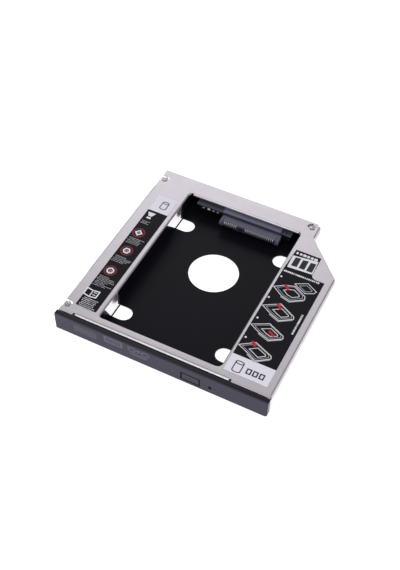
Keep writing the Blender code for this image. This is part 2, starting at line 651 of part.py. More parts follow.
def ear_outline(ear, grow=0.0):
    """Pressed seat round a cover screw; the two left ones run out to the sheet's edge."""
    x, y = ear
    half = EAR_LENGTH / 2 + grow
    if x > 0:
        return circle(ear, half, 20)
    edge_x = -HALF_WIDTH - CLEAR
    right_x = x + half
    return [(edge_x, y - half)] + arc((right_x - half, y), half, -90, 90, 8) + [(edge_x, y + half)]


def ear_slit(ear):
    """Curved slit that frees the back of a pressed seat from the sheet."""
    x, y = ear
    radius = (EAR_LENGTH + EAR_SLIT) / 2
    if x > 0:
        return ribbon(arc(ear, radius, *RIGHT_EAR_SLIT_TURN, 8), EAR_SLIT)
    return ribbon([(-HALF_WIDTH - CLEAR, y + radius)] + arc(ear, radius, 90, LEFT_EAR_SLIT_TURN, 8), EAR_SLIT)


def hook_outline(slot_y):
    """Tongue of the cover that hangs in a tray window, round at its lower front corner."""
    back = slot_y + SLOT_HALF_WIDTH - HOOK_ROOM
    front = back - HOOK_WIDTH
    low = BODY_HEIGHT - HOOK_DEPTH
    high = BODY_HEIGHT - BEND_RADIUS / 2
    foot = arc((front + HOOK_RADIUS, low + HOOK_RADIUS), HOOK_RADIUS, 180, 270, 6)
    toe = arc((back - HOOK_TOE_RADIUS, low + HOOK_TOE_RADIUS), HOOK_TOE_RADIUS, 270, 360, 3)
    return foot + toe + [(back, high), (front, high)]


def make_cover(maker, material):
    """Folded aluminium cover with its opening, ears, slits, hooks and front lip groove."""
    cover = maker.piece("top_cover", folded_sheet(), material)
    hook_span = (OPENING_X[0] - SHEET + HOOK_INSET, OPENING_X[0] - HOOK_INSET)
    pads = []
    for ear in EARS:
        outline = [(max(x, -PLAIN_X), y) for x, y in ear_outline(ear)]
        pads.append(prism(outline, (EAR_TOP - SHEET, EAR_TOP)))
    hooks = [prism(hook_outline(slot_y), hook_span, "X") for slot_y in SLOT_YS]
    maker.join(cover, *pads, *hooks)
    above = BODY_HEIGHT + CLEAR
    below = SHEET_UNDER - CLEAR
    cutters = [prism(ear_outline(ear), (EAR_TOP, above)) for ear in EARS]
    cutters += [prism(ear_slit(ear), (below, above)) for ear in EARS]
    cutters += [prism(circle(ear, SCREW_RADIUS + GAP, 16), (below, above)) for ear in EARS]
    for x, inward in ((OPENING_X[0], 1), (OPENING_X[1], -1)):
        centre = (x + inward * OPENING_RADIUS, OPENING_Y[1] + CORNER_RELIEF_RADIUS / 2)
        cutters.append(prism(circle(centre, CORNER_RELIEF_RADIUS, 12), (below, above)))
    groove_y = (BEND_RADIUS + LIP_GROOVE_WIDTH, BEND_RADIUS + 2 * LIP_GROOVE_WIDTH)
    cutters.append(prism(box(FRONT_LIP_X, groove_y), (BODY_HEIGHT - LIP_GROOVE_DEPTH, above)))
    maker.cut(cover, *cutters)
    return cover


def tray_outline():
    """Footprint of the tray: front beam, drive well and back beam."""
    well0, well1 = WELL_X0 - WALL, WELL_X1 + WALL
    return [
        (FRONT_BEAM_X[0], GAP),
        (FRONT_BEAM_X[1], GAP),
        (FRONT_BEAM_X[1], FRONT_BEAM_DEPTH),
        (well1, FRONT_BEAM_DEPTH),
        (well1, BACK_BEAM_FRONT_Y),
        (BACK_BEAM_X[1], BACK_BEAM_FRONT_Y),
        (BACK_BEAM_X[1], TRAY_BACK_Y),
        (BACK_BEAM_X[0], TRAY_BACK_Y),
        (BACK_BEAM_X[0], BACK_BEAM_FRONT_Y),
        (well0, BACK_BEAM_FRONT_Y),
        (well0, FRONT_BEAM_DEPTH),
        (FRONT_BEAM_X[0], FRONT_BEAM_DEPTH),
    ]


def beam_pockets():
    """Hollows of the front beam between its ribs, open upwards."""
    low, high = FRONT_BEAM_X[0] + WALL, FRONT_BEAM_X[1] - WALL
    count = round((high - low) / BEAM_RIB_PITCH)
    pitch = (high - low + WALL) / count
    spans = [(low + pitch * index, low + pitch * (index + 1) - WALL) for index in range(count)]
    depth = (GAP + WALL, FRONT_BEAM_DEPTH - WALL)
    return [prism(box(span, depth), (FLOOR, TRAY_TOP + CLEAR)) for span in spans]


def slot_outline(slot_y, side):
    """Floor slot with one round end, from the fold of the side wall towards the middle."""
    wall_x = WELL_X0 if side < 0 else WELL_X1
    start = wall_x - side * (FOLD_BAR + FOLD_BAR_SHAVING)
    centre_x = wall_x - side * (SLOT_LENGTH + FOLD_BAR - SLOT_HALF_WIDTH)
    turn = 270 if side < 0 else 90
    end = arc((centre_x, slot_y), SLOT_HALF_WIDTH, turn, turn + 180, 14)
    return end + [(start, slot_y - side * SLOT_HALF_WIDTH), (start, slot_y + side * SLOT_HALF_WIDTH)]


def window_outline(slot_y, lean):
    """Window in a side wall above a slot; its front edge leans forwards as it rises."""
    back = slot_y + SLOT_HALF_WIDTH
    front = slot_y - SLOT_HALF_WIDTH
    top = SHEET_UNDER + CLEAR
    return [(front, -CLEAR), (back, -CLEAR), (back, top), (front - lean, top), (front, FLOOR)]


def side_windows():
    """Four windows, two in each side wall of the well."""
    cutters = []
    for slot_y, lean in zip(SLOT_YS, (FRONT_WINDOW_LEAN, BACK_WINDOW_LEAN)):
        outline = window_outline(slot_y, lean)
        cutters.append(prism(outline, (WELL_X0 - WALL - CLEAR, WELL_X0 + FOLD_BAR_SHAVING), "X"))
        cutters.append(prism(outline, (WELL_X1 - FOLD_BAR_SHAVING, WELL_X1 + WALL + CLEAR), "X"))
    return cutters


def clip_profile(grow):
    """Side view of a bezel clip, or of the slot that it snaps into when grown."""
    root_y = BEZEL_INNER_Y - BEZEL_WALL / 2
    low, high = CLIP_Z - grow, CLIP_Z + CLIP_THICKNESS + grow
    hook_y = GAP + WALL + GAP
    if grow:
        slot_end = GAP + WALL + CLEAR / 4
        return [(-CLEAR, low), (slot_end, low), (slot_end, high), (-CLEAR, high)]
    tip = hook_y + CLIP_TIP
    return [(root_y, low), (hook_y, low), (hook_y, low - CLIP_HOOK), (tip, low), (tip, high), (root_y, high)]


def make_tray(maker, material):
    """Moulded tray: well with floor slots and wall windows, beams, bosses and board posts."""
    tray = maker.piece("base_tray", prism(tray_outline(), (0.0, TRAY_TOP), name="base_tray"), material)
    above = TRAY_TOP + CLEAR
    pockets = [prism(box((WELL_X0, WELL_X1), (FRONT_BEAM_DEPTH, BAY_BACK_Y)), (FLOOR, above))]
    left_pocket = box((BACK_BEAM_X[0] + WALL, WELL_X0 - WALL), (BACK_BEAM_FRONT_Y + WALL, BAY_BACK_Y))
    pockets.append(prism(left_pocket, (FLOOR, above)))
    maker.cut(tray, *pockets, *beam_pockets())
    posts = [prism(circle(ear, BOSS_RADIUS, 20), (0.0, BOSS_TOP)) for ear in EARS]
    bridge = (BACK_LEFT_EAR[0], BACK_BEAM_X[0] + WALL)
    bridge_y = (BACK_LEFT_EAR[1] - BOSS_RADIUS + WALL / 2, BACK_LEFT_EAR[1] + BOSS_RADIUS - WALL / 2)
    posts.append(prism(box(bridge, bridge_y), (0.0, BOSS_TOP)))
    for x in BOARD_SCREW_X:
        posts.append(prism(circle((x, BOARD_SCREW_Y), BOSS_RADIUS, 20), (FLOOR / 2, BOARD_UNDER - GAP)))
    maker.join(tray, *posts)
    hole_y = DRIVE_END_Y - ACCESS_HOLE_FROM_DRIVE_END
    cutters = [prism(circle((DRIVE_X, hole_y), ACCESS_HOLE_RADIUS, 64), (-CLEAR, FLOOR + CLEAR))]
    for slot_y in SLOT_YS:
        for side in (-1, 1):
            cutters.append(prism(slot_outline(slot_y, side), (-CLEAR, FLOOR + CLEAR)))
    cutters += side_windows()
    rebate = box((FRONT_LIP_X[0] - GAP, FRONT_LIP_X[1] + GAP), (-CLEAR, SHEET + GAP))
    cutters.append(prism(rebate, (BODY_HEIGHT - FRONT_LIP - GAP, above)))
    cutters += [prism(ear_outline(ear, GAP), (BOSS_TOP, above)) for ear in EARS]
    bore = SCREW_RADIUS + GAP
    bore_bottom = EAR_TOP + GAP - SCREW_LENGTH - GAP
    cutters += [prism(circle(ear, bore, 16), (bore_bottom, above)) for ear in EARS]
    board_bore_bottom = FLOOR + GAP
    for x in BOARD_SCREW_X:
        cutters.append(prism(circle((x, BOARD_SCREW_Y), bore, 16), (board_bore_bottom, BOARD_TOP)))
    plug_window = box((PLUG_X[0] - GAP, PLUG_X[1] + GAP), (PLUG_BOTTOM - GAP, above))
    cutters.append(prism(plug_window, (BAY_BACK_Y - CLEAR, TRAY_BACK_Y + CLEAR), "Y"))
    for x in CLIP_X:
        span = (x - CLIP_WIDTH / 2 - GAP, x + CLIP_WIDTH / 2 + GAP)
        cutters.append(prism(clip_profile(GAP), span, "X"))
    maker.cut(tray, *cutters)
    return tray


def make_bezel(maker, material):
    """Front moulding: a shallow shell with the button's opening, a light window and snap clips."""
    half = HALF_WIDTH + BEZEL_OVERHANG
    radii = (BEZEL_CORNER_RADIUS, BEZEL_RIGHT_FOOT_RADIUS, BEZEL_CORNER_RADIUS, BEZEL_CORNER_RADIUS)
    outline = rounded_rect((-half, half), (0.0, BODY_HEIGHT), radii)
    shell = prism(outline, (-BEZEL_DEPTH, BEZEL_BACK_Y), "Y", "bezel")
    bezel = maker.piece("bezel", shell, material)
    soften(bezel, BEZEL_EDGE_RADIUS)
    pocket = box((-half + BEZEL_RIM, half - BEZEL_RIM), (BEZEL_RIM, BODY_HEIGHT - BEZEL_RIM))
    maker.cut(bezel, prism(pocket, (BEZEL_INNER_Y, CLEAR), "Y"))
    additions = []
    for x in CLIP_X:
        additions.append(prism(clip_profile(0.0), (x - CLIP_WIDTH / 2, x + CLIP_WIDTH / 2), "X"))
    for x in BUTTON_PIN_X:
        pin = circle((x, BUTTON_PIN_Z), BUTTON_PIN_RADIUS, 12)
        additions.append(prism(pin, (BEZEL_INNER_Y - BEZEL_WALL / 2, BEZEL_BACK_Y), "Y"))
    lug_y = (BEZEL_BACK_Y - BEZEL_RIM, LIP_RELIEF_DEPTH - GAP - LUG_SETDOWN)
    lug_z = (BODY_HEIGHT - BEZEL_RIM / 2, BODY_HEIGHT - LUG_SETDOWN)
    for x in (FRONT_LIP_X[0] - LIP_RELIEF_WIDTH / 2, FRONT_LIP_X[1] + LIP_RELIEF_WIDTH / 2):
        additions.append(prism(box((x - LUG_WIDTH / 2, x + LUG_WIDTH / 2), lug_z), lug_y, "Y"))
    maker.join(bezel, *additions)
    through = (-BEZEL_DEPTH - CLEAR, BEZEL_INNER_Y + CLEAR / 8)
    x_span = (BUTTON_X[0] - BUTTON_GROOVE, BUTTON_X[1] + BUTTON_GROOVE)
    z_span = (BUTTON_Z[0] - BUTTON_GROOVE, BUTTON_Z[1] + BUTTON_GROOVE)
    cutters = [prism(rounded_rect(x_span, z_span, (BUTTON_RADIUS,) * 4, 3), through, "Y")]
    cutters.append(prism(light_outline(GAP / 2), through, "Y"))
    cutters.append(prism(circle((EJECT_HOLE_X, EJECT_HOLE_Z), EJECT_HOLE_RADIUS, 12), through, "Y"))
    cutters.append(prism(circle((SENSOR_HOLE_X, SENSOR_HOLE_Z), SENSOR_HOLE_RADIUS, 12), through, "Y"))
    maker.cut(bezel, *cutters)
    return bezel


def make_button(maker, material):
    """Eject button: cap, back plate and two spring arms whose eyes slide on the bezel's pins."""
    cap = rounded_rect(BUTTON_X, BUTTON_Z, (BUTTON_RADIUS,) * 4, 3)
    plate_front = BEZEL_INNER_Y + BUTTON_SETBACK
    plate_span = (plate_front, plate_front + BUTTON_PLATE)
    cap_y = (-BEZEL_DEPTH, plate_front + BUTTON_PLATE / 2)
    button = maker.piece("eject_button", prism(cap, cap_y, "Y"), material)
    plate_x = (BUTTON_X[0] - BUTTON_PLATE_MARGIN, BUTTON_X[1] + BUTTON_PLATE_MARGIN)
    plate_z = (BUTTON_Z[0] - BUTTON_PLATE_MARGIN, BUTTON_PLATE_TOP)
    plate = rounded_rect(plate_x, plate_z, (BUTTON_RADIUS, BUTTON_RADIUS, ARM_THINNING, ARM_THINNING), 3)
    pieces = [prism(plate, plate_span, "Y")]
    thin = (plate_span[0] + ARM_THINNING, plate_span[1] - ARM_THINNING)
    arm_z = (BUTTON_PLATE_TOP - BUTTON_ARM + ARM_THINNING, BUTTON_PLATE_TOP - ARM_THINNING)
    eye_radius = BUTTON_PIN_RADIUS + GAP + BUTTON_EYE_WALL
    for x, root in zip(BUTTON_PIN_X, (plate_x[0] + BUTTON_ARM, plate_x[1] - BUTTON_ARM)):
        pieces.append(prism(box(sorted((x, root)), arm_z), thin, "Y"))
        pieces.append(prism(circle((x, BUTTON_PIN_Z), eye_radius, 20), plate_span, "Y"))
    maker.join(button, *pieces)
    bores = [circle((x, BUTTON_PIN_Z), BUTTON_PIN_RADIUS + GAP, 16) for x in BUTTON_PIN_X]
    through = (plate_span[0] - CLEAR / 4, plate_span[1] + CLEAR)
    maker.cut(button, *[prism(bore, through, "Y") for bore in bores])
    return button


def light_outline(grow):
    """Outline of the activity window, grown outwards by a distance."""
    half_x, half_z = LIGHT_WIDTH / 2 + grow, LIGHT_HEIGHT / 2 + grow
    return box((LIGHT_X - half_x, LIGHT_X + half_x), (LIGHT_Z - half_z, LIGHT_Z + half_z))


def make_light_pipe(maker, material):
    """Clear light pipe behind the bezel's activity window."""
    flange_y = (BEZEL_INNER_Y + GAP, BEZEL_INNER_Y + GAP + LIGHT_FLANGE_THICKNESS)
    tip = prism(light_outline(0.0), (-BEZEL_DEPTH, flange_y[1] - GAP / 2), "Y")
    pipe = maker.piece("light_pipe", tip, material)
    maker.join(pipe, prism(light_outline(LIGHT_FLANGE), flange_y, "Y"))
    return pipe


def contact_xs():
    """Middle of each contact of the drive receptacle, with its name."""
    for index in range(SIGNAL_CONTACTS):
        yield f"signal_contact_{index + 1}", FIRST_SIGNAL_X + CONTACT_PITCH * index
    for index in range(POWER_CONTACTS):
        yield f"power_contact_{index + 1}", FIRST_POWER_X + CONTACT_PITCH * index


def mouth_spans():
    """Left and right end of the signal mouth and of the power mouth."""
    return (
        (FIRST_SIGNAL_X - MOUTH_MARGIN, LAST_SIGNAL_X + MOUTH_MARGIN + KEY_WIDTH),
        (FIRST_POWER_X - MOUTH_MARGIN - KEY_WIDTH, LAST_POWER_X + MOUTH_MARGIN),
    )


def make_receptacle(maker, material):
    """Housing of the drive receptacle: two keyed mouths, a comb of contact channels and end guides."""
    edges = (RECEPTACLE_EDGE / 2, RECEPTACLE_EDGE / 4, RECEPTACLE_EDGE / 4, RECEPTACLE_EDGE)
    body = rounded_rect(RECEPTACLE_Y, (RECEPTACLE_BOTTOM, RECEPTACLE_TOP), edges, 3)
    housing = maker.piece("drive_receptacle", prism(body, RECEPTACLE_X, "X"), material)
    guide_y = (RECEPTACLE_Y[0] - GUIDE_REACH, RECEPTACLE_Y[0] + MOUTH_DEPTH)
    guide_z = (RECEPTACLE_BOTTOM + RECEPTACLE_SOLE, RECEPTACLE_TOP - GUIDE_SETDOWN)
    guide_edges = (GUIDE_SETDOWN, GUIDE_SIDE, GUIDE_SIDE, GUIDE_SETDOWN)
    guide = rounded_rect(guide_y, guide_z, guide_edges, 3)
    left, right = RECEPTACLE_X
    guides = [
        prism(guide, (left - GUIDE_SIDE, left + GUIDE_WIDTH), "X"),
        prism(guide, (right - GUIDE_WIDTH, right + GUIDE_SIDE), "X"),
    ]
    maker.join(housing, *guides)
    mouth_y = (RECEPTACLE_Y[0] - CLEAR, RECEPTACLE_Y[0] + MOUTH_DEPTH)
    cutters = []
    for index, (start, end) in enumerate(mouth_spans()):
        cutters.append(prism(box((start, end), mouth_y), (MOUTH_BOTTOM, MOUTH_TOP)))
        key = (end - KEY_WIDTH, end) if index == 0 else (start, start + KEY_WIDTH)
        key_z = (MOUTH_BOTTOM - KEY_DROP, MOUTH_TOP - MOUTH_HEIGHT / 2)
        cutters.append(prism(box(key, mouth_y), key_z))
    channel_y = (RECEPTACLE_Y[0] - CLEAR, RECEPTACLE_Y[1] + CLEAR)
    channel_z = (MOUTH_TOP - CHANNEL_OVERLAP, MOUTH_TOP + CHANNEL_HEIGHT)
    for _, x in contact_xs():
        cutters.append(prism(box((x - CHANNEL_WIDTH / 2, x + CHANNEL_WIDTH / 2), channel_y), channel_z))
    shelf_y = (RECEPTACLE_Y[0] - CLEAR, RECEPTACLE_Y[0] + SHELF_DEPTH)
    shelf_x = (mouth_spans()[0][0], mouth_spans()[1][1])
    cutters.append(prism(box(shelf_x, shelf_y), (RECEPTACLE_TOP - SHELF_DROP, RECEPTACLE_TOP + CLEAR)))
    groove_z = (RECEPTACLE_TOP - GUIDE_GROOVE_DEPTH, RECEPTACLE_TOP + CLEAR)
    for groove in (left + GUIDE_WIDTH, right - GUIDE_WIDTH - GUIDE_GROOVE_WIDTH):
        cutters.append(prism(box((groove, groove + GUIDE_GROOVE_WIDTH), mouth_y), groove_z))
    maker.cut(housing, *cutters)
    return housing


def contact_profile():
    """Side view of a spring contact: board tail, straight shank and a bowed tip in the mouth."""
    tail_z = BOARD_TOP + CONTACT_THICKNESS / 2 + CONTACT_SEAT_GAP
    shank_z = MOUTH_TOP + CHANNEL_HEIGHT / 2
    path = [
        (BOARD_Y[0] + CONTACT_TAIL, tail_z),
        (BOARD_Y[0] + CONTACT_BEND, tail_z),
        (RECEPTACLE_Y[1] - CONTACT_BEND, shank_z),
        (RECEPTACLE_Y[0] + MOUTH_DEPTH * CONTACT_SHANK, shank_z),
    ]
    tip_z = MOUTH_TOP - CONTACT_DIP
    for reach, rise in CONTACT_BOW:
        path.append((RECEPTACLE_Y[0] + MOUTH_DEPTH * reach, tip_z + (shank_z - MOUTH_TOP) * rise))
    return path


def make_contacts(maker, material):
    """Twenty-two spring contacts that share one strip mesh."""
    half = CONTACT_WIDTH / 2
    strip = prism(ribbon(contact_profile(), CONTACT_THICKNESS), (-half, half), "X", "contact_strip")
    strip.materials.append(material)
    for name, x in contact_xs():
        contact = bpy.data.objects.new(name, strip)
        contact.parent = maker.frame
        contact.location = (x, 0.0, 0.0)
        maker.scene.objects.link(contact)


def make_board(maker, material):
    """Adapter board with its two screw holes."""
    outline = rounded_rect(BOARD_X, (BOARD_Y[0], BOARD_Y[1]), (BOARD_RADIUS,) * 4, 2)
    board = maker.piece("adapter_board", prism(outline, (BOARD_UNDER, BOARD_TOP)), material)
    through = (BOARD_UNDER - CLEAR, BOARD_TOP + CLEAR)
    holes = [circle((x, BOARD_SCREW_Y), SCREW_RADIUS + GAP, 16) for x in BOARD_SCREW_X]
    maker.cut(board, *[prism(hole, through) for hole in holes])
    return board


def make_bar(maker, material):
    """Two-tier clamp bar over the board, with a foot round each screw."""
    under = BAR_LOW_UNDER
    low = box((BAR_Y[0] + BAR_STEP_BACK, BAR_Y[1]), (under, BAR_LOW_TOP))
    bar = maker.piece("clamp_bar", prism(low, BAR_X, "X"), material)
    high_y = (BAR_Y[0], BAR_Y[0] + BAR_STEP_DEPTH)
    edges = (BAR_EDGE / 3, BAR_EDGE / 3, BAR_EDGE, BAR_EDGE)
    high = rounded_rect(high_y, (under + BAR_EDGE / 3, BAR_HIGH_TOP), edges, 2)
    feet = []
    for x in BOARD_SCREW_X:
        foot = circle((x, BOARD_SCREW_Y), BAR_FOOT_RADIUS, 16)
        feet.append(prism(foot, (BAR_UNDER, under + BAR_STEP / 2)))
    maker.join(bar, prism(high, BAR_HIGH_X, "X"), *feet)
    through = (BAR_UNDER - CLEAR, BAR_HIGH_TOP + CLEAR)
    holes = [circle((x, BOARD_SCREW_Y), SCREW_RADIUS + GAP, 16) for x in BOARD_SCREW_X]
    maker.cut(bar, *[prism(hole, through) for hole in holes])
    return bar


def make_plug(maker, material):
    """Shell of the bay plug on the board's back edge, with its contact blade."""
    step_y = BOARD_Y[1] + GAP
    over = BOARD_TOP + GAP
    side = [(step_y, PLUG_BOTTOM), (PLUG_BACK_Y, PLUG_BOTTOM), (PLUG_BACK_Y, PLUG_TOP)]
    side += [(PLUG_FRONT_Y, PLUG_TOP), (PLUG_FRONT_Y, over), (step_y, over)]
    plug = maker.piece("bay_plug", prism(side, PLUG_X, "X"), material)
    mouth_x = (PLUG_X[0] + PLUG_SHELL, PLUG_X[1] - PLUG_SHELL)
    mouth_z = (PLUG_BOTTOM + PLUG_SHELL, PLUG_TOP - PLUG_SHELL)
    maker.cut(plug, prism(box(mouth_x, mouth_z), (PLUG_FLOOR_Y, PLUG_BACK_Y + CLEAR), "Y"))
    blade_y = (PLUG_FLOOR_Y - BLADE_ROOT, PLUG_FLOOR_Y + BLADE_REACH)
    blades = []
    for start, count, pitch in plug_rows():
        end = start + pitch * (count - 1)
        blades.append(prism(box((start - BLADE_MARGIN, end + BLADE_MARGIN), blade_y), blade_span()))
    maker.join(plug, *blades)
    return plug


def blade_span():
    """Under and upper side of the plug's contact blade."""
    middle = (PLUG_BOTTOM + PLUG_TOP) / 2
    return middle - BLADE / 2, middle + BLADE / 2


def plug_rows():
    """Place of the first contact, number and pitch of the plug's two rows."""
    return (
        (PLUG_SIGNAL_X, PLUG_SIGNALS, CONTACT_PITCH),
        (PLUG_POWER_X, PLUG_POWERS, PLUG_POWER_PITCH),
    )


def make_plug_contacts(maker, material):
    """Flat contacts on top of the plug's blade."""
    half = PLUG_CONTACT_WIDTH / 2
    low = blade_span()[1] + PLUG_CONTACT_GAP
    length = (PLUG_FLOOR_Y + PLUG_CONTACT_INSET, PLUG_FLOOR_Y + BLADE_REACH - PLUG_CONTACT_INSET)
    strip = prism(box((-half, half), length), (low, low + PLUG_CONTACT_THICKNESS), name="plug_strip")
    strip.materials.append(material)
    number = 0
    for start, count, pitch in plug_rows():
        for index in range(count):
            number += 1
            contact = bpy.data.objects.new(f"plug_contact_{number}", strip)
            contact.parent = maker.frame
            contact.location = (start + pitch * index, 0.0, 0.0)
            maker.scene.objects.link(contact)


def make_screw(maker, name, place_xy, seat, length, material):
    """Low-headed screw with a cross recess, turned about its own axis."""
    head = seat + SCREW_SEAT_GAP
    top = head + SCREW_HEAD
    rim = SCREW_HEAD_RADIUS - SCREW_HEAD_EDGE
    profile = [(0.0, head - length), (SCREW_RADIUS, head - length), (SCREW_RADIUS, head)]
    profile += [(SCREW_HEAD_RADIUS, head), (SCREW_HEAD_RADIUS, top - SCREW_HEAD_EDGE), (rim, top), (0.0, top)]
    screw = maker.piece(name, spun(profile, place_xy, name), material)
    x, y = place_xy
    arm, half = SCREW_HEAD_RADIUS * CROSS_REACH, SCREW_HEAD_RADIUS * CROSS_HALF_WIDTH
    depth = (top - SCREW_HEAD * CROSS_DEPTH, top + CLEAR)
    across = prism(box((x - arm, x + arm), (y - half, y + half)), depth)
    along = prism(box((x - half, x + half), (y - arm, y + arm)), depth)
    maker.cut(screw, across, along)
    return screw


def left_label_outline():
    """Narrow label on the left wing."""
    return rounded_rect(LEFT_LABEL_X, LEFT_LABEL_Y, (LABEL_RADIUS,) * 4, 3)


def right_label_outline():
    """Wide label on the right wing: a panel whose narrower head joins it in a hollow curve."""
    x0, x1 = RIGHT_LABEL_X
    y0, y1 = RIGHT_LABEL_Y
    head0, head1 = RIGHT_LABEL_HEAD_X
    neck = RIGHT_LABEL_NECK_RADIUS
    curve = arc((head1 + neck, y1 + neck), neck, 270, 180, 6)
    head = [(head1, RIGHT_LABEL_HEAD_Y), (head0, RIGHT_LABEL_HEAD_Y), (x0, y1)]
    return [(x0, y0), (x1, y0), (x1, y1)] + curve + head


def make_labels(maker, material):
    """Two thin printed labels on the cover."""
    span = (BODY_HEIGHT + LABEL_GAP, BODY_HEIGHT + LABEL_GAP + LABEL)
    maker.piece("left_label", prism(left_label_outline(), span), material)
    maker.piece("right_label", prism(right_label_outline(), span), material)


def make_board_parts(maker, led_material, chip_material):
    """Activity light and small chips at the visible front edge of the board."""
    seat = BOARD_TOP + CHIP_SEAT_GAP
    front = BOARD_Y[0] + CHIP_INSET
    sizes = [("status_led", LED_FROM_LEFT, LED_SIZE, led_material)]
    for index, offset in enumerate(CHIPS_FROM_LEFT):
        sizes.append((f"board_chip_{index + 1}", offset, CHIP_SIZE, chip_material))
    for name, offset, (wide, deep, high), material in sizes:
        x = BOARD_X[0] + offset
        outline = box((x - wide / 2, x + wide / 2), (front, front + deep))
        maker.piece(name, prism(outline, (seat, seat + high)), material)


def main():
    """Build every piece of the caddy."""
    clear_scene()
    maker = Maker(make_frame())
    aluminium = make_material("aluminium", (0.61, 0.58, 0.64), 0.32, 1.0)
    tray_plastic = make_material("tray_plastic", (0.012, 0.011, 0.014), 0.38)
    bezel_plastic = make_material("bezel_plastic", (0.022, 0.020, 0.026), 0.45)
    button_plastic = make_material("button_plastic", (0.024, 0.022, 0.028), 0.42)
    clear_plastic = make_material("clear_plastic", (0.35, 0.36, 0.38), 0.15)
    connector_plastic = make_material("connector_plastic", (0.045, 0.047, 0.062), 0.40)
    board_green = make_material("board_green", (0.02, 0.16, 0.07), 0.35)
    contact_gold = make_material("contact_gold", (0.78, 0.66, 0.48), 0.28, 1.0)
    screw_steel = make_material("screw_steel", (0.50, 0.44, 0.40), 0.30, 1.0)
    label_print = make_material("label_print", (0.014, 0.012, 0.015), 0.45)
    led_resin = make_material("led_resin", (0.80, 0.82, 0.66), 0.30)
    chip_ceramic = make_material("chip_ceramic", (0.30, 0.33, 0.30), 0.40)
    make_cover(maker, aluminium)
    make_tray(maker, tray_plastic)
    make_bezel(maker, bezel_plastic)
    make_button(maker, button_plastic)
    make_light_pipe(maker, clear_plastic)
    make_board(maker, board_green)
    make_receptacle(maker, connector_plastic)
    make_contacts(maker, contact_gold)
    make_bar(maker, connector_plastic)
    make_plug(maker, connector_plastic)
    make_plug_contacts(maker, contact_gold)
    for index, ear in enumerate(EARS):
        make_screw(maker, f"cover_screw_{index + 1}", ear, EAR_TOP, SCREW_LENGTH, screw_steel)
    for index, x in enumerate(BOARD_SCREW_X):
        length = BAR_LOW_TOP - FLOOR - CLEAR / 2
        make_screw(maker, f"board_screw_{index + 1}", (x, BOARD_SCREW_Y), BAR_LOW_TOP, length, screw_steel)
    make_labels(maker, label_print)
    make_board_parts(maker, led_resin, chip_ceramic)


main()
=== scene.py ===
"""Looks of the laptop drive caddy: finishes, finer copies of the CAD pieces and the print on its labels."""

import functools
import logging
import math
from dataclasses import dataclass, field
from enum import Enum
from typing import Sequence

import bmesh
import bpy
from mathutils import Matrix, Vector


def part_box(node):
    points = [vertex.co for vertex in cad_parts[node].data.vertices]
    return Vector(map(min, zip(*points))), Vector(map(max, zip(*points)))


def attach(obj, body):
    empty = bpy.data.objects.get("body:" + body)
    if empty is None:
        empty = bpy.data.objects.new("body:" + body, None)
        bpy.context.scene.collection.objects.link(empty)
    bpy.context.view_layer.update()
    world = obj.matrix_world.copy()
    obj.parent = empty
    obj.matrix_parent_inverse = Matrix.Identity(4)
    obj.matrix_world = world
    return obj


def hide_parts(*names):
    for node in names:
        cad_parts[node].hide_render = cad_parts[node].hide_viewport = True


LOG = logging.getLogger("caddy")
MM = 0.001
# Places are in millimetres from the middle of the cover's front edge, which lies here in the frame.
COVER_FRONT_Y = -61.2
INK_HEIGHT = 0.02
# Heights over the label that keep inks apart where they cross.
LOW_LEVEL = 0.005
HIGH_LEVEL = 0.03
# The bevel puts the faces of rounded edges in this material slot until they are marked for a lighter colour,
# which stands partly for rubbed edges and partly is a painted highlight.
WORN_AND_LIT_SLOT = 1
# How much lighter the marked edges are: partly rubbed edges, partly a painted highlight.
WORN_AND_LIT_GAIN = 1.9
NOISE_MEAN = 0.5
MOTTLE_DETAIL = 3.0
GRAIN_DETAIL = 4.0
SHARP_ANGLE = math.radians(40.0)

Colour = tuple[float, float, float]
Point = tuple[float, float]
Socket = bpy.types.NodeSocket
Mesh = bpy.types.Mesh
Object = bpy.types.Object
Outline = Sequence[Point]
Place = tuple[float, float, float]
Value = Socket | float | tuple[float, ...]


@functools.cache
def extent(node: str) -> tuple[Vector, Vector]:
    """Return the low and high corner of a CAD node's box in the frame."""
    low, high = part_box(node)
    return Vector(low), Vector(high)


def spot(x: float, y: float, z: float) -> Vector:
    """Return the frame's point for millimetres counted from the middle of the cover's front edge."""
    return Vector((x, y + COVER_FRONT_Y, z)) * MM


class Graph:
    """Adds and joins the nodes of one node tree."""

    def __init__(self, tree: bpy.types.NodeTree) -> None:
        """Start from an emptied tree."""
        self.tree = tree
        tree.nodes.clear()

    def add(self, kind: str, inputs: dict | None = None, **settings: object) -> bpy.types.Node:
        """Add one node.

        Args:
            kind: Blender's name for the node type.
            inputs: Values or links by socket name or number; an output socket is linked, a value is set.
            settings: Properties of the node itself.

        Returns:
            The new node.
        """
        node = self.tree.nodes.new(kind)
        for name, value in settings.items():
            setattr(node, name, value)
        for key, value in (inputs or {}).items():
            if isinstance(value, Socket):
                self.tree.links.new(value, node.inputs[key])
            else:
                node.inputs[key].default_value = value
        return node

    def out(self, kind: str, inputs: dict | None = None, **settings: object) -> Socket:
        """Add one node as above and return its first output."""
        return self.add(kind, inputs, **settings).outputs[0]

    def maths(self, operation: str, first: Value, second: Value = 0.0, clamp: bool = False) -> Socket:
        """Return the output of one maths node."""
        return self.out("ShaderNodeMath", {0: first, 1: second}, operation=operation, use_clamp=clamp)

    def times(self, first: Value, second: Value, clamp: bool = False) -> Socket:
        """Return a product."""
        return self.maths("MULTIPLY", first, second, clamp)

    def blend(self, share: Value, first: Value, second: Value) -> Socket:
        """Return a colour mixed from two others by a share."""
        return self.add("ShaderNodeMix", {0: share, 6: first, 7: second}, data_type="RGBA").outputs[2]

    def vector(self, **parts: Value) -> Socket:
        """Return a vector with the named parts x, y and z, and 0 for the others."""
        return self.out("ShaderNodeCombineXYZ", {"xyz".index(key): part for key, part in parts.items()})


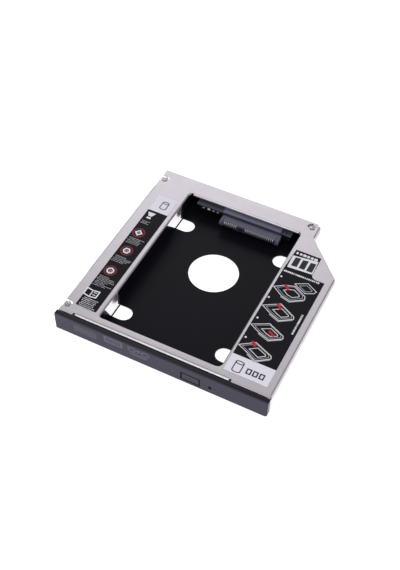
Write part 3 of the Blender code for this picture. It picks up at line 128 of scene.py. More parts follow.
class Shading(Graph):
    """Nodes of one material, with the place, its coordinates and two noises for the finish to use."""

    def __init__(
        self, tree: bpy.types.NodeTree, mottle_scale: float, grain_scale: float, stretch: Place
    ) -> None:
        """Add the nodes that every finish needs.

        Args:
            tree: The material's tree.
            mottle_scale: Scale of the cloudy noise.
            grain_scale: Scale of the fine noise.
            stretch: The fine noise's scale by axis.
        """
        super().__init__(tree)
        self.place = self.add("ShaderNodeTexCoord").outputs["Object"]
        self.x, self.y, self.z = self.add("ShaderNodeSeparateXYZ", {0: self.place}).outputs
        self.mottle = self.noise(self.place, mottle_scale, MOTTLE_DETAIL)
        streak = self.out("ShaderNodeMapping", {"Vector": self.place, "Scale": stretch})
        self.grain = self.noise(streak, grain_scale, GRAIN_DETAIL)

    def noise(self, place: Socket, scale: float, detail: float) -> Socket:
        """Return a noise between 0 and 1."""
        inputs = {"Vector": place, "Scale": scale, "Detail": detail}
        return self.add("ShaderNodeTexNoise", inputs).outputs["Fac"]

    def attribute(self, name: str) -> Socket:
        """Return what the mesh holds under a name."""
        return self.add("ShaderNodeAttribute", attribute_name=name).outputs["Fac"]

    def before(self, limit: float) -> Socket:
        """Return 1 in front of a limit in millimetres from the cover's front edge, and 0 behind it."""
        return self.maths("LESS_THAN", self.y, (limit + COVER_FRONT_Y) * MM)

    def between(self, value: Socket, limits: Point) -> Socket:
        """Return 1 where a coordinate lies between two limits in millimetres, and 0 elsewhere."""
        inputs = {0: value, 1: sum(limits) / 2 * MM, 2: (limits[1] - limits[0]) / 2 * MM}
        return self.out("ShaderNodeMath", inputs, operation="COMPARE")


def rgba(colour: Colour, factor: float = 1.0) -> tuple[float, float, float, float]:
    """Return a colour with alpha, made lighter or darker by a factor."""
    return tuple(min(channel * factor, 1.0) for channel in colour) + (1.0,)


@dataclass(frozen=True)
class Finish:
    """Procedural surface: mottled colour, grained roughness, fine relief and lighter edges, partly rubbed and
    partly a painted highlight.
    """

    name: str
    colour: Colour
    roughness: float
    metallic: float = 0.0
    specular: float = 0.5
    mottle: float = 0.06
    mottle_scale: float = 70.0
    grain_scale: float = 1400.0
    stretch: Place = (1.0, 1.0, 1.0)
    relief: float = 0.08
    relief_depth: float = 0.02
    swing: float = 0.08
    # Strength of the lighter edges, partly rubbed and partly a painted highlight.
    wear_and_highlight: float = 0.35
    transmission: float = 0.0
    coat: float = 0.0
    glow: float = 0.0

    def build(self) -> bpy.types.Material:
        """Make the material, with its nodes set from this finish's values.

        Returns:
            The new material.
        """
        material = bpy.data.materials.new(self.name)
        material.use_nodes = True
        at = Shading(material.node_tree, self.mottle_scale, self.grain_scale, self.stretch)
        patches = at.times(at.mottle, self.wear_and_highlight / NOISE_MEAN)
        # Where the rounded edges are painted lighter, partly as rubbed edges and partly as a painted
        # highlight.
        worn_and_lit = at.times(at.attribute("edge_wear_and_highlight"), patches, clamp=True)
        relief = {"Height": self.height(at), "Strength": self.relief, "Distance": self.relief_depth * MM}
        values = {
            "Base Color": at.blend(worn_and_lit, self.tint(at), rgba(self.colour, WORN_AND_LIT_GAIN)),
            "Roughness": self.gloss(at),
            "Normal": at.out("ShaderNodeBump", relief),
            "Metallic": self.metallic,
            "Specular IOR Level": self.specular,
            "Transmission Weight": self.transmission,
            "Coat Weight": self.coat,
            "Emission Strength": self.glow,
        }
        at.add("ShaderNodeOutputMaterial", {"Surface": at.out("ShaderNodeBsdfPrincipled", values)})
        LOG.info("finish %s", self.name)
        return material

    def tint(self, at: Shading) -> Socket:
        """Return the base colour, here one colour that varies a little from place to place."""
        return at.blend(at.mottle, rgba(self.colour, 1.0 - self.mottle), rgba(self.colour, 1.0 + self.mottle))

    def gloss(self, at: Shading) -> Socket:
        """Return the roughness, here one that swings with the grain."""
        swing = {"Value": at.grain, 3: self.roughness - self.swing, 4: self.roughness + self.swing}
        return at.out("ShaderNodeMapRange", swing)

    def height(self, at: Shading) -> Socket:
        """Return the height that the relief follows, here the grain."""
        return at.grain


@dataclass(frozen=True)
class BezelFinish(Finish):
    """Moulded front: a textured face in the plastic's colour, and polished sides and edges painted near black
    as painted shade.
    """

    # Near black painted shade on every face but the front and the rim over its top.
    shaded_side_colour: Colour = (0.003, 0.003, 0.004)
    edge_roughness: float = 0.22
    rim_y: float = -2.95
    rim_z: float = 12.5

    def on_face(self, at: Shading) -> Socket:
        """Return 1 on the marked front and on the rim that it turns over at the top, and 0 elsewhere."""
        rim = at.times(at.before(self.rim_y), at.maths("GREATER_THAN", at.z, self.rim_z * MM))
        return at.maths("MAXIMUM", at.attribute("front_face"), rim)

    def tint(self, at: Shading) -> Socket:
        """Return the face's colour in front and the near black painted shade elsewhere."""
        return at.blend(self.on_face(at), rgba(self.shaded_side_colour), super().tint(at))

    def gloss(self, at: Shading) -> Socket:
        """Return the satin face's roughness in front and the polished one elsewhere.

        Args:
            at: The material's nodes.

        Returns:
            The roughness.
        """
        face = self.on_face(at)
        outside = at.times(at.maths("SUBTRACT", 1.0, face), self.edge_roughness)
        return at.maths("ADD", at.times(super().gloss(at), face), outside)


@dataclass(frozen=True)
class CoverFinish(Finish):
    """Rolled sheet whose hooks in the tray's windows carry a painted highlight that makes them lighter than
    the sheet.
    """

    hook_x: Point = (-42.0, -34.0)
    hook_z: Point = (0.0, 11.8)
    hook_highlight_gain: float = 1.8

    def tint(self, at: Shading) -> Socket:
        """Return the sheet's colour, with a painted highlight that makes the hooks lighter."""
        hook = at.times(at.between(at.x, self.hook_x), at.between(at.z, self.hook_z))
        return at.blend(hook, super().tint(at), rgba(self.colour, self.hook_highlight_gain))


@dataclass(frozen=True)
class BarFinish(Finish):
    """Bar moulding whose upper tier carries a painted highlight that makes it lighter than the lower one."""

    tier_z: float = 10.4
    upper_tier_light_gain: float = 2.4

    def tint(self, at: Shading) -> Socket:
        """Return the moulding's colour, with a painted highlight on the upper tier."""
        upper = at.maths("GREATER_THAN", at.z, self.tier_z * MM)
        return at.blend(upper, super().tint(at), rgba(self.colour, self.upper_tier_light_gain))


@dataclass(frozen=True)
class MouthFinish(Finish):
    """Connector moulding with painted shade that makes it black in the mouth, and pale along its lower lip.
    """

    mouth_x: Point = (-14.0, 19.8)
    mouth_y: float = 105.48
    lip_z: Point = (6.68, 6.88)
    lip_y: float = 104.85
    roof_z: float = 8.5
    mouth_shade_gain: float = 0.035
    lip_gain: float = 1.1

    def tint(self, at: Shading) -> Socket:
        """Return near black painted shade round the contacts, a pale lip under them and the moulding's colour
        elsewhere.

        Args:
            at: The material's nodes.

        Returns:
            The base colour.
        """
        inside = at.between(at.x, self.mouth_x)
        roofed = at.between(at.z, (self.lip_z[0], self.roof_z))
        shaded_hollow = at.times(inside, at.maths("MAXIMUM", at.before(self.mouth_y), roofed))
        lip = at.times(inside, at.times(at.before(self.lip_y), at.between(at.z, self.lip_z)))
        base = at.blend(shaded_hollow, super().tint(at), rgba(self.colour, self.mouth_shade_gain))
        return at.blend(lip, base, rgba(self.colour, self.lip_gain))


@dataclass(frozen=True)
class FilmFinish(Finish):
    """Printed film: black with one white field beyond a line across the label."""

    white: Colour = (0.86, 0.855, 0.93)
    line_y: float = 90.4
    white_beyond: bool = True

    def tint(self, at: Shading) -> Socket:
        """Return white on one side of the line and black on the other."""
        sides = (rgba(self.white), super().tint(at))
        return at.blend(at.before(self.line_y), *(sides if self.white_beyond else reversed(sides)))


@dataclass(frozen=True)
class BoardFinish(Finish):
    """Circuit board: solder mask over a net of copper tracks."""

    track: Colour = (0.004, 0.016, 0.010)
    track_scale: float = 420.0
    track_gap: float = 0.06
    track_length: float = 1.4
    track_width: float = 0.5

    def net(self, at: Shading, sizes: dict) -> Socket:
        """Return 1 on the tracks and 0 between them."""
        inputs = {"Vector": at.place, "Scale": self.track_scale, "Mortar Size": self.track_gap} | sizes
        return at.add("ShaderNodeTexBrick", inputs).outputs["Fac"]

    def tint(self, at: Shading) -> Socket:
        """Return the mask's colour, lighter where a track runs under it."""
        tracks = self.net(at, {"Brick Width": self.track_length, "Row Height": self.track_width})
        return at.blend(tracks, super().tint(at), rgba(self.track))

    def height(self, at: Shading) -> Socket:
        """Return the relief of the tracks."""
        return self.net(at, {})


@dataclass(frozen=True)
class TrayFinish(Finish):
    """Moulded tray: satin plastic with round ejector marks in a regular grid on its flats."""

    mark_pitch: float = 27.0
    mark_radius: float = 2.4
    grain_share: float = 0.6
    mark_share: float = 0.5

    def height(self, at: Shading) -> Socket:
        """Return the grain with a shallow disc at each ejector mark.

        Args:
            at: The material's nodes.

        Returns:
            The height for the relief.
        """
        cells = [at.maths("PINGPONG", axis, self.mark_pitch / 2 * MM) for axis in (at.x, at.y)]
        distance = at.maths("SQRT", at.maths("ADD", *(at.maths("POWER", cell, 2.0) for cell in cells)))
        mark = at.maths("LESS_THAN", distance, self.mark_radius * MM)
        return at.maths("ADD", at.times(at.grain, self.grain_share), at.times(mark, self.mark_share))


# Values that several finishes share.
MOULDING = {"mottle": 0.10, "grain_scale": 2200.0, "relief": 0.12, "relief_depth": 0.015}
FILM = {"specular": 0.08, "mottle": 0.10, "relief": 0.06, "relief_depth": 0.01}
INK = {"specular": 0.3, "mottle": 0.08, "mottle_scale": 500.0, "relief": 0.05}


class Palette(Enum):
    """Set of finishes that are each made once and shared."""

    def material(self) -> bpy.types.Material:
        """Return this finish's material, made at its first use."""
        return bpy.data.materials.get(self.value.name) or self.value.build()


class Surface(Palette):
    """Finishes of the caddy's pieces."""

    COVER = CoverFinish(
        "rolled_aluminium", (0.525, 0.495, 0.53), 0.38, metallic=0.92, mottle=0.05, grain_scale=900.0,
        stretch=(0.25, 3.0, 1.0), relief=0.2, relief_depth=0.01, wear_and_highlight=1.2,
    )
    # Whiter metal of the cover's edge beads: a painted highlight.
    EDGE_HIGHLIGHT = Finish(
        "edge_highlight_metal", (0.93, 0.92, 0.97), 0.34, metallic=0.9, mottle=0.05, grain_scale=900.0,
        relief=0.02, relief_depth=0.005, swing=0.05,
    )
    TRAY = TrayFinish(
        "tray_moulding", (0.0060, 0.0054, 0.0088), 0.36, specular=0.08, mottle=0.12, relief=0.10,
        relief_depth=0.015, wear_and_highlight=0.5,
    )
    BEZEL = BezelFinish(
        "bezel_moulding", (0.0395, 0.0335, 0.059), 0.50, specular=0.22, mottle=0.04, grain_scale=2600.0,
        relief=0.25, wear_and_highlight=0.2,
    )
    BAR = BarFinish("bar_moulding", (0.044, 0.045, 0.069), 0.38, specular=0.45, wear_and_highlight=1.2, **MOULDING)
    PLUG = Finish("plug_moulding", (0.044, 0.045, 0.064), 0.38, specular=0.45, wear_and_highlight=1.2, **MOULDING)
    MOUTH = MouthFinish("connector_moulding", (0.069, 0.072, 0.114), 0.38, specular=0.4, wear_and_highlight=1.0, **MOULDING)
    CONTACT = Finish(
        "contact_plating", (1.0, 0.97, 0.92), 0.40, metallic=0.10, mottle=0.08, grain_scale=3000.0,
        stretch=(1.0, 0.2, 1.0), relief=0.05, relief_depth=0.005, wear_and_highlight=0.3,
    )
    BOARD = BoardFinish(
        "board_mask", (0.0012, 0.0045, 0.0032), 0.34, specular=0.2, relief=0.3, coat=0.1, wear_and_highlight=0.2,
    )
    SCREW = Finish(
        "screw_plating", (0.56, 0.48, 0.44), 0.30, metallic=1.0, mottle=0.15, mottle_scale=900.0,
        relief=0.10, relief_depth=0.01, wear_and_highlight=0.6,
    )
    LEFT_FILM = FilmFinish("left_film", (0.0085, 0.008, 0.011), 0.42, **FILM)
    RIGHT_FILM = FilmFinish(
        "right_film", (0.0085, 0.008, 0.011), 0.42, line_y=17.1, white_beyond=False, **FILM,
    )
    LIGHT = Finish(
        "clear_moulding", (0.20, 0.20, 0.23), 0.18, transmission=0.6, mottle=0.05, relief=0.03,
        relief_depth=0.01,
    )
    LED = Finish("led_resin", (0.95, 0.97, 0.72), 0.28, mottle_scale=1500.0, coat=0.6, relief=0.04)
    CHIP = Finish("chip_ceramic", (0.60, 0.66, 0.55), 0.35, mottle=0.15, mottle_scale=2400.0, relief=0.15)


class Ink(Palette):
    """Inks of the print, and the shades drawn in grooves and beside openings."""

    WHITE = Finish("ink_white", (0.86, 0.86, 0.90), 0.50, **INK | {"mottle": 0.05})
    GREY = Finish("ink_grey", (0.46, 0.46, 0.50), 0.50, **INK)
    MAROON = Finish("ink_maroon", (0.20, 0.008, 0.02), 0.45, **INK)
    RED = Finish("ink_red", (0.50, 0.012, 0.03), 0.45, **INK)
    DARK = Finish("ink_dark", (0.012, 0.011, 0.015), 0.45, **INK)
    SHADE = Finish("groove_shade", (0.0012, 0.001, 0.0015), 0.85, specular=0.03, mottle=0.1, relief=0.05)
    CREASE = Finish("crease_shade", (0.09, 0.087, 0.10), 0.45, metallic=0.3, mottle=0.15, relief=0.05)
    BEZEL = Finish("bezel_print", (0.10, 0.094, 0.125), 0.48, specular=0.25, mottle=0.10, relief=0.05)


def link(piece: Object) -> Object:
    """Put an object in the scene and return it."""
    bpy.context.scene.collection.objects.link(piece)
    return piece


def baked(piece: Object) -> Object:
    """Turn an object's modifiers into plain mesh data.

    Args:
        piece: Mesh object at the origin with modifiers.

    Returns:
        The same object with its result as its mesh and no modifier left.
    """
    bpy.context.view_layer.update()
    evaluated = piece.evaluated_get(bpy.context.evaluated_depsgraph_get())
    result = bpy.data.meshes.new_from_object(evaluated)
    piece.modifiers.clear()
    piece.data = result
    return piece


def smooth(mesh: Mesh, angle: float = 35.0) -> None:
    """Shade a mesh smooth, with the edges sharper than an angle left crisp."""
    mesh.polygons.foreach_set("use_smooth", [True] * len(mesh.polygons))
    mesh.set_sharp_from_angle(angle=math.radians(angle))


def mark_wear_and_highlight(mesh: Mesh) -> None:
    """Write 1 on the faces of rounded edges and 0 on all others, for the finishes to paint those edges
    lighter, partly as rubbed edges and partly as a painted highlight.

    Args:
        mesh: Mesh whose rounded edges are in the material slot for the lighter edges.
    """
    values = [float(polygon.material_index == WORN_AND_LIT_SLOT) for polygon in mesh.polygons]
    layer = mesh.attributes.new("edge_wear_and_highlight", "FLOAT", "FACE")
    layer.data.foreach_set("value", values)
    mesh.polygons.foreach_set("material_index", [0] * len(values))


@dataclass
class FinerCopy:
    """Copy of a CAD piece with merged points and with rounded edges that are marked to be painted lighter,
    partly as rubbed edges and partly as a painted highlight.
    """

    node: str
    surface: Surface
    edge: float = 0.10
    segments: int = 2
    body: str = "caddy"
    front_edge: float = 0.0
    inset: float = 0.0
    merge: float = 0.001
    outline_reach: float = 0.5
    plane_slack: float = 0.01
    flat_depth: float = 0.02
    facing: float = 0.98
    turned: float = 0.05
    flatness: int = 100

    def build(self) -> None:
        """Make the finished copy as plain mesh data that stands for its CAD node."""
        bm = bmesh.new()
        bm.from_mesh(bpy.data.objects[self.node].data)
        bmesh.ops.remove_doubles(bm, verts=bm.verts, dist=self.merge * MM)
        self.draw_in(bm)
        self.weigh(bm)
        mesh = bpy.data.meshes.new(f"{self.node}_fine")
        bm.to_mesh(mesh)
        bm.free()
        piece = link(bpy.data.objects.new(f"{self.node}_fine", mesh))
        bevel = piece.modifiers.new("edge", "BEVEL")
        bevel.width = max(self.edge, self.front_edge) * MM
        bevel.segments = self.segments
        bevel.limit_method = "WEIGHT"
        bevel.use_clamp_overlap = False
        mesh.materials.clear()
        for _ in range(WORN_AND_LIT_SLOT + 1):
            mesh.materials.append(self.surface.material())
        bevel.material = WORN_AND_LIT_SLOT
        baked(piece)
        mark_wear_and_highlight(piece.data)
        self.mark_front(piece.data)
        smooth(piece.data)
        weighted = piece.modifiers.new("flat_normals", "WEIGHTED_NORMAL")
        weighted.keep_sharp = True
        weighted.weight = self.flatness
        baked(piece)
        piece.data.materials.clear()
        piece.data.materials.append(self.surface.material())
        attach(piece, self.body)
        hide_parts(self.node)
        LOG.info("copy %s with %d faces", piece.name, len(piece.data.polygons))

    def draw_in(self, bm: bmesh.types.BMesh) -> None:
        """Draw the copy's sides and ends in by the inset, so that the groove round it shows.

        Args:
            bm: The copy's mesh.
        """
        low, high = extent(self.node)
        middle, size = (low + high) / 2, high - low
        for vertex in bm.verts:
            for axis in (0, 2):
                share = 1.0 - 2.0 * self.inset * MM / size[axis]
                vertex.co[axis] = middle[axis] + (vertex.co[axis] - middle[axis]) * share

    def on_outline(self, point: Vector) -> bool:
        """Return whether a point lies on the front's outer outline, away from its openings.

        Args:
            point: Place in the frame.

        Returns:
            Whether it lies there; never for a piece without a front edge.
        """
        low, high = extent(self.node)
        reach = (self.front_edge + self.outline_reach) * MM
        inside = (low[0] + reach < point.x < high[0] - reach) and (low[2] + reach < point.z < high[2] - reach)
        return self.front_edge > 0.0 and not inside

    def weigh(self, bm: bmesh.types.BMesh) -> None:
        """Weigh the sharp edges for the bevel, with the front edge's width on the front's outline.

        Args:
            bm: The copy's mesh.
        """
        layer = bm.edges.layers.float.new("bevel_weight_edge")
        widest = max(self.edge, self.front_edge)
        plane = extent(self.node)[0].y + self.plane_slack * MM
        for edge in bm.edges:
            if not edge.is_manifold or edge.calc_face_angle() < SHARP_ANGLE:
                continue
            in_front = all(vertex.co.y < plane and self.on_outline(vertex.co) for vertex in edge.verts)
            edge[layer] = (self.front_edge if in_front else self.edge) / widest

    def mark_front(self, mesh: Mesh) -> None:
        """Write 1 on the flat front and its rounded upper edge and 0 elsewhere, for the finish.

        Args:
            mesh: The copy's mesh with its edges rounded.
        """
        plane = extent(self.node)[0].y + max(self.front_edge, self.flat_depth) * MM
        values = []
        for polygon in mesh.polygons:
            normal = polygon.normal
            turned_up = normal.y < -self.turned and normal.z > self.turned and self.on_outline(polygon.center)
            faces_front = normal.y < -self.facing or turned_up
            values.append(float(polygon.center.y < plane and faces_front))
        mesh.attributes.new("front_face", "FLOAT", "FACE").data.foreach_set("value", values)


class Ground(Enum):
    """Flat that print lies on: the top of the labels, the cover or the bar, or the bezel's front."""

    LABEL = 12.85
    COVER = 12.71
    BAR = 10.21
    BEZEL = -3.7

    def point(self, x: float, y: float, height: float) -> Vector:
        """Return the frame's point for a place on the flat and a height over it.

        Args:
            x: Millimetres to the right of the middle.
            y: Millimetres behind the cover's front edge, or up on the bezel.
            height: Millimetres over the flat.

        Returns:
            The point in the frame.
        """
        if self is Ground.BEZEL:
            return spot(x, self.value - height, y)
        return spot(x, y, self.value + height)


@dataclass(frozen=True)
class Bead:
    """Rounded edge of the cover's sheet: a low arch along one line, in a whiter metal that is a painted
    highlight.
    """

    name: str
    x: Point
    y: Point
    rise: float
    steps: int = 8
    bluntness: float = 0.7

    def build(self) -> None:
        """Make the arch as one closed solid, which rides with the caddy."""
        profile = []
        for index in range(self.steps + 1):
            share = index / self.steps
            height = Ground.COVER.value + self.rise * math.sin(math.pi * share) ** self.bluntness
            profile.append((self.y[0] + (self.y[1] - self.y[0]) * share, height))
        points = [spot(x, y, z) for x in self.x for y, z in profile]
        count = len(profile)
        faces = [(i, i + count, i + count + 1, i + 1) for i in range(count - 1)]
        faces.append((0, count - 1, 2 * count - 1, count))
        faces += [tuple(range(count)), tuple(range(2 * count - 1, count - 1, -1))]
        mesh = bpy.data.meshes.new(self.name)
        mesh.from_pydata(points, [], faces)
        mesh.materials.append(Surface.EDGE_HIGHLIGHT.material())
        smooth(mesh)
        piece = link(bpy.data.objects.new(self.name, mesh))
        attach(piece, "caddy")
        LOG.info("bead %s", self.name)


LIP_X = (-53.2, 39.6)


@dataclass
class Housing:
    """Cover, tray, bezel, button and light pipe: the pieces that make the caddy's body."""

    pieces: Sequence = (
        FinerCopy("top_cover", Surface.COVER, 0.10),
        FinerCopy("base_tray", Surface.TRAY, 0.14),
        FinerCopy("bezel", Surface.BEZEL, 0.08, segments=4, front_edge=0.6),
        FinerCopy("eject_button", Surface.BEZEL, 0.2, body="button", inset=0.18),
        FinerCopy("light_pipe", Surface.LIGHT, 0.08),
        Bead("cover_front_roll", LIP_X, (0.1, 0.98), 0.16),
        Bead("opening_back_edge", (-38.0, 31.4), (114.04, 114.68), 0.15),
    )

    def build(self) -> None:
        """Make the finer copies and the beads."""
        for piece in self.pieces:
            piece.build()


class PartTree:
    """Geometry Nodes tree with named inputs that is wired once and run for each piece."""

    name = ""
    plan: Sequence[tuple[str, str, object]] = ()

    def __init__(self) -> None:
        """Make the tree's sockets from the plan of names, kinds and defaults, and join its nodes."""
        self.tree = bpy.data.node_groups.new(self.name, "GeometryNodeTree")
        self.tree.interface.new_socket("Geometry", in_out="OUTPUT", socket_type="NodeSocketGeometry")
        self.sockets: dict[str, str] = {}
        for name, kind, value in self.plan:
            socket = self.tree.interface.new_socket(name, in_out="INPUT", socket_type=f"NodeSocket{kind}")
            if value is not None:
                socket.default_value = value
            self.sockets[name] = socket.identifier
        graph = Graph(self.tree)
        given = graph.add("NodeGroupInput").outputs
        real = graph.out("GeometryNodeRealizeInstances", {0: self.wire(graph, given)})
        dressed = graph.add("GeometryNodeSetMaterial", {"Geometry": real, "Material": given["Finish"]})
        graph.add("NodeGroupOutput", {0: dressed.outputs[0]})

    def wire(self, graph: Graph, given: bpy.types.NodeOutputs) -> Socket:
        """Return the shape that a tree of this kind makes."""
        raise NotImplementedError

    def grow(self, name: str, values: dict, mesh: Mesh | None = None) -> Object:
        """Run the tree once.

        Args:
            name: Name of the object.
            values: Input values by name, set before the object is first evaluated.
            mesh: Starting mesh, or none for an empty one.

        Returns:
            A plain mesh object.
        """
        piece = link(bpy.data.objects.new(name, mesh or bpy.data.meshes.new(name)))
        modifier = piece.modifiers.new("grow", "NODES")
        modifier.node_group = self.tree
        for key, value in values.items():
            modifier[self.sockets[key]] = value
        return baked(piece)


class ScrewTree(PartTree):
    """Screw with a crowned head and a cross recess."""

    name = "cross_screw"
    plan = (
        ("Head Radius", "Float", 1.5 * MM), ("Head Height", "Float", 0.5 * MM), ("Crown", "Float", 0.72),
        ("Shank Radius", "Float", 0.8 * MM), ("Shank Length", "Float", 6.0 * MM),
        ("Cross Reach", "Float", 0.9 * MM), ("Cross Width", "Float", 0.36 * MM),
        ("Cross Depth", "Float", 0.3 * MM), ("Turn", "Float", 0.0), ("Finish", "Material", None),
    )
    head_height = 0.5
    head_sides = 48
    shank_sides = 24
    # Shares of the head's height, of its radius and of the shank's length.
    collar_height = 0.6
    crown_start = 0.55
    crown_height = 0.45
    crown_foot = 0.995
    shank_middle = -0.49

    def wire(self, graph: Graph, given: bpy.types.NodeOutputs) -> Socket:
        """Join a collar, a crown and a shank and cut the cross out of them.

        Args:
            graph: The tree's graph.
            given: The tree's inputs by name.

        Returns:
            The shape, which has no material yet.
        """
        height, radius, length = given["Head Height"], given["Head Radius"], given["Shank Length"]
        depth = graph.times(height, self.collar_height)
        inputs = {"Vertices": self.head_sides, "Radius": radius, "Depth": depth}
        collar = self.placed(graph, "Cylinder", inputs, graph.times(depth, 0.5))
        inputs = {"Vertices": self.head_sides, "Radius Bottom": graph.times(radius, self.crown_foot)}
        inputs["Radius Top"] = graph.times(radius, given["Crown"])
        inputs["Depth"] = graph.times(height, self.crown_height)
        crown = self.placed(graph, "Cone", inputs, graph.times(height, self.crown_start))
        inputs = {"Vertices": self.shank_sides, "Radius": given["Shank Radius"], "Depth": length}
        shank = self.placed(graph, "Cylinder", inputs, graph.times(length, self.shank_middle))
        solid = self.joined(graph, "UNION", {}, (collar, crown, shank))
        wide, reach, deep = given["Cross Width"], graph.times(given["Cross Reach"], 2.0), given["Cross Depth"]
        bars = [
            self.placed(graph, "Cube", {"Size": graph.vector(x=x, y=y, z=graph.times(deep, 2.0))}, height)
            for x, y in ((reach, wide), (wide, reach))
        ]
        cut = self.joined(graph, "DIFFERENCE", {0: solid}, bars)
        turn = graph.vector(z=given["Turn"])
        return graph.out("GeometryNodeTransform", {"Geometry": cut, "Rotation": turn})

    @staticmethod
    def placed(graph: Graph, kind: str, inputs: dict, height: Value) -> Socket:
        """Return a primitive of some kind lifted to a height."""
        shape, up = graph.out(f"GeometryNodeMesh{kind}", inputs), graph.vector(z=height)
        return graph.out("GeometryNodeTransform", {"Geometry": shape, "Translation": up})

    @staticmethod
    def joined(graph: Graph, operation: str, inputs: dict, shapes: Sequence[Socket]) -> Socket:
        """Join or cut shapes by one boolean node.

        Args:
            graph: The tree's graph.
            operation: The node's operation.
            inputs: The body to cut, under 0, or nothing.
            shapes: Shapes for the node's second input, which takes several links.

        Returns:
            The result.
        """
        node = graph.add("GeometryNodeMeshBoolean", inputs, operation=operation)
        for shape in shapes:
            graph.tree.links.new(shape, node.inputs[1])
        return node.outputs[0]

    def build(self, node: str, turn: float) -> None:
        """Make one screw.

        Args:
            node: CAD screw that it stands for.
            turn: Angle of its cross in radians.
        """
        low, high = extent(node)
        head = self.head_height * MM
        values = {
            "Head Radius": (high.x - low.x) / 2, "Head Height": head, "Shank Length": high.z - low.z - head,
            "Turn": turn, "Finish": Surface.SCREW.material(),
        }
        piece = self.grow(f"{node}_fine", values)
        piece.data.transform(Matrix.Translation(((low.x + high.x) / 2, (low.y + high.y) / 2, high.z - head)))
        smooth(piece.data)
        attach(piece, "caddy")
        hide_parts(node)
        LOG.info("screw %s with %d faces", piece.name, len(piece.data.polygons))


class ContactTree(PartTree):
    """Bent strip that is swept along a path and repeated in a row."""

    name = "contact_row"
    plan = (
        ("Path", "Geometry", None), ("Width", "Float", 0.5 * MM), ("Thickness", "Float", 0.2 * MM),
        ("Bend", "Float", 0.25 * MM), ("Pitch", "Float", 1.27 * MM), ("Count", "Int", 7),
        ("Finish", "Material", None),
    )
    bend_steps = 3

    def wire(self, graph: Graph, given: bpy.types.NodeOutputs) -> Socket:
        """Round the path's corners, sweep the strip along it and set the copies in a row.

        Args:
            graph: The tree's graph.
            given: The tree's inputs by name.

        Returns:
            The shape, which has no material yet.
        """
        curve = graph.out("GeometryNodeMeshToCurve", {0: given["Path"]})
        corners = {"Curve": curve, "Radius": given["Bend"], "Limit Radius": True, "Count": self.bend_steps}
        bent = graph.out("GeometryNodeFilletCurve", corners, mode="POLY")
        upright = graph.out("GeometryNodeSetCurveNormal", {"Curve": bent}, mode="Z_UP")
        section = {"Width": given["Thickness"], "Height": given["Width"]}
        profile = graph.out("GeometryNodeCurvePrimitiveQuadrilateral", section)
        sweep = {"Curve": upright, "Profile Curve": profile, "Fill Caps": True}
        strip = graph.out("GeometryNodeCurveToMesh", sweep)
        line = {"Count": given["Count"], "Offset": graph.vector(x=given["Pitch"])}
        row = graph.out("GeometryNodeMeshLine", line, mode="OFFSET")
        return graph.out("GeometryNodeInstanceOnPoints", {"Points": row, "Instance": strip})

    def build(self, name: str, prefix: str, count: int, path: Outline, **sizes: float) -> None:
        """Make a row of contacts that stands for CAD contacts with numbered names.

        Args:
            name: Name of the finished row.
            prefix: Start of the CAD nodes' names, before their numbers.
            count: How many contacts it has.
            path: Side view of one contact's middle line, in millimetres from the cover's front edge and up.
            sizes: Width, thickness and bend by input name, in millimetres.
        """
        first, second = (sum(extent(f"{prefix}_{number}"), Vector()).x / 2 for number in (1, 2))
        mesh = bpy.data.meshes.new(name)
        mesh.from_pydata([spot(0.0, y, z) for y, z in path], [(i, i + 1) for i in range(len(path) - 1)], [])
        values = {key.title(): value * MM for key, value in sizes.items()}
        values |= {"Count": count, "Pitch": second - first, "Finish": Surface.CONTACT.material()}
        piece = self.grow(name, values, mesh)
        piece.data.transform(Matrix.Translation((first, 0.0, 0.0)))
        smooth(piece.data)
        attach(piece, "caddy")
        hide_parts(*[f"{prefix}_{number + 1}" for number in range(count)])
        LOG.info("contacts %s with %d faces", name, len(piece.data.polygons))


CONTACT_PATH = (
    (112.6, 8.0), (111.1, 8.0), (110.0, 8.7), (107.9, 8.7), (107.0, 8.45), (106.5, 8.12), (106.1, 8.12),
    (105.5, 9.0), (104.72, 9.0), (104.6, 7.95), (104.9, 7.7),
)
CONTACT_SIZES = {"width": 0.36, "thickness": 0.2, "bend": 0.2}
SCREW_TURNS = {
    "cover_screw_1": 0.35, "cover_screw_2": 0.9, "cover_screw_3": 0.15,
    "board_screw_1": 0.6, "board_screw_2": 1.1,
}


SMALL_PARTS = {
    "plug_contact": Surface.CONTACT,
    "status_led": Surface.LED,
    "board_chip": Surface.CHIP,
    "left_label": Surface.LEFT_FILM,
    "right_label": Surface.RIGHT_FILM,
}


@dataclass
class Electronics:
    """Receptacle, clamp bar, board and plug with their screws, contacts and small parts."""

    copies: tuple[FinerCopy, ...] = (
        FinerCopy("drive_receptacle", Surface.MOUTH, 0.08),
        FinerCopy("clamp_bar", Surface.BAR, 0.12),
        FinerCopy("bay_plug", Surface.PLUG, 0.08),
        FinerCopy("adapter_board", Surface.BOARD, 0.06),
    )
    rows: tuple[tuple[str, str, int], ...] = (
        ("signal_row", "signal_contact", 7), ("power_row", "power_contact", 15),
    )

    def build(self) -> None:
        """Make the finer copies, give the small parts and the labels their finishes and grow the rest."""
        for copy in self.copies:
            copy.build()
        for name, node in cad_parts.items():
            for prefix, surface in SMALL_PARTS.items():
                if name.startswith(prefix):
                    node.data.materials.clear()
                    node.data.materials.append(surface.material())
        screws, contacts = ScrewTree(), ContactTree()
        for name, turn in SCREW_TURNS.items():
            screws.build(name, turn)
        for name, prefix, count in self.rows:
            contacts.build(name, prefix, count, CONTACT_PATH, **CONTACT_SIZES)


def circle(middle: Point, radius: float, count: int = 32, squash: float = 1.0) -> list[Point]:
    """Return points round a circle or, with a squash, an ellipse."""
    turns = [math.tau * index / count for index in range(count)]
    return [(middle[0] + radius * math.cos(t), middle[1] + radius * squash * math.sin(t)) for t in turns]


def rectangle(x: Point, y: Point) -> list[Point]:
    """Return the corners of an upright rectangle."""
    return [(x[0], y[0]), (x[1], y[0]), (x[1], y[1]), (x[0], y[1])]


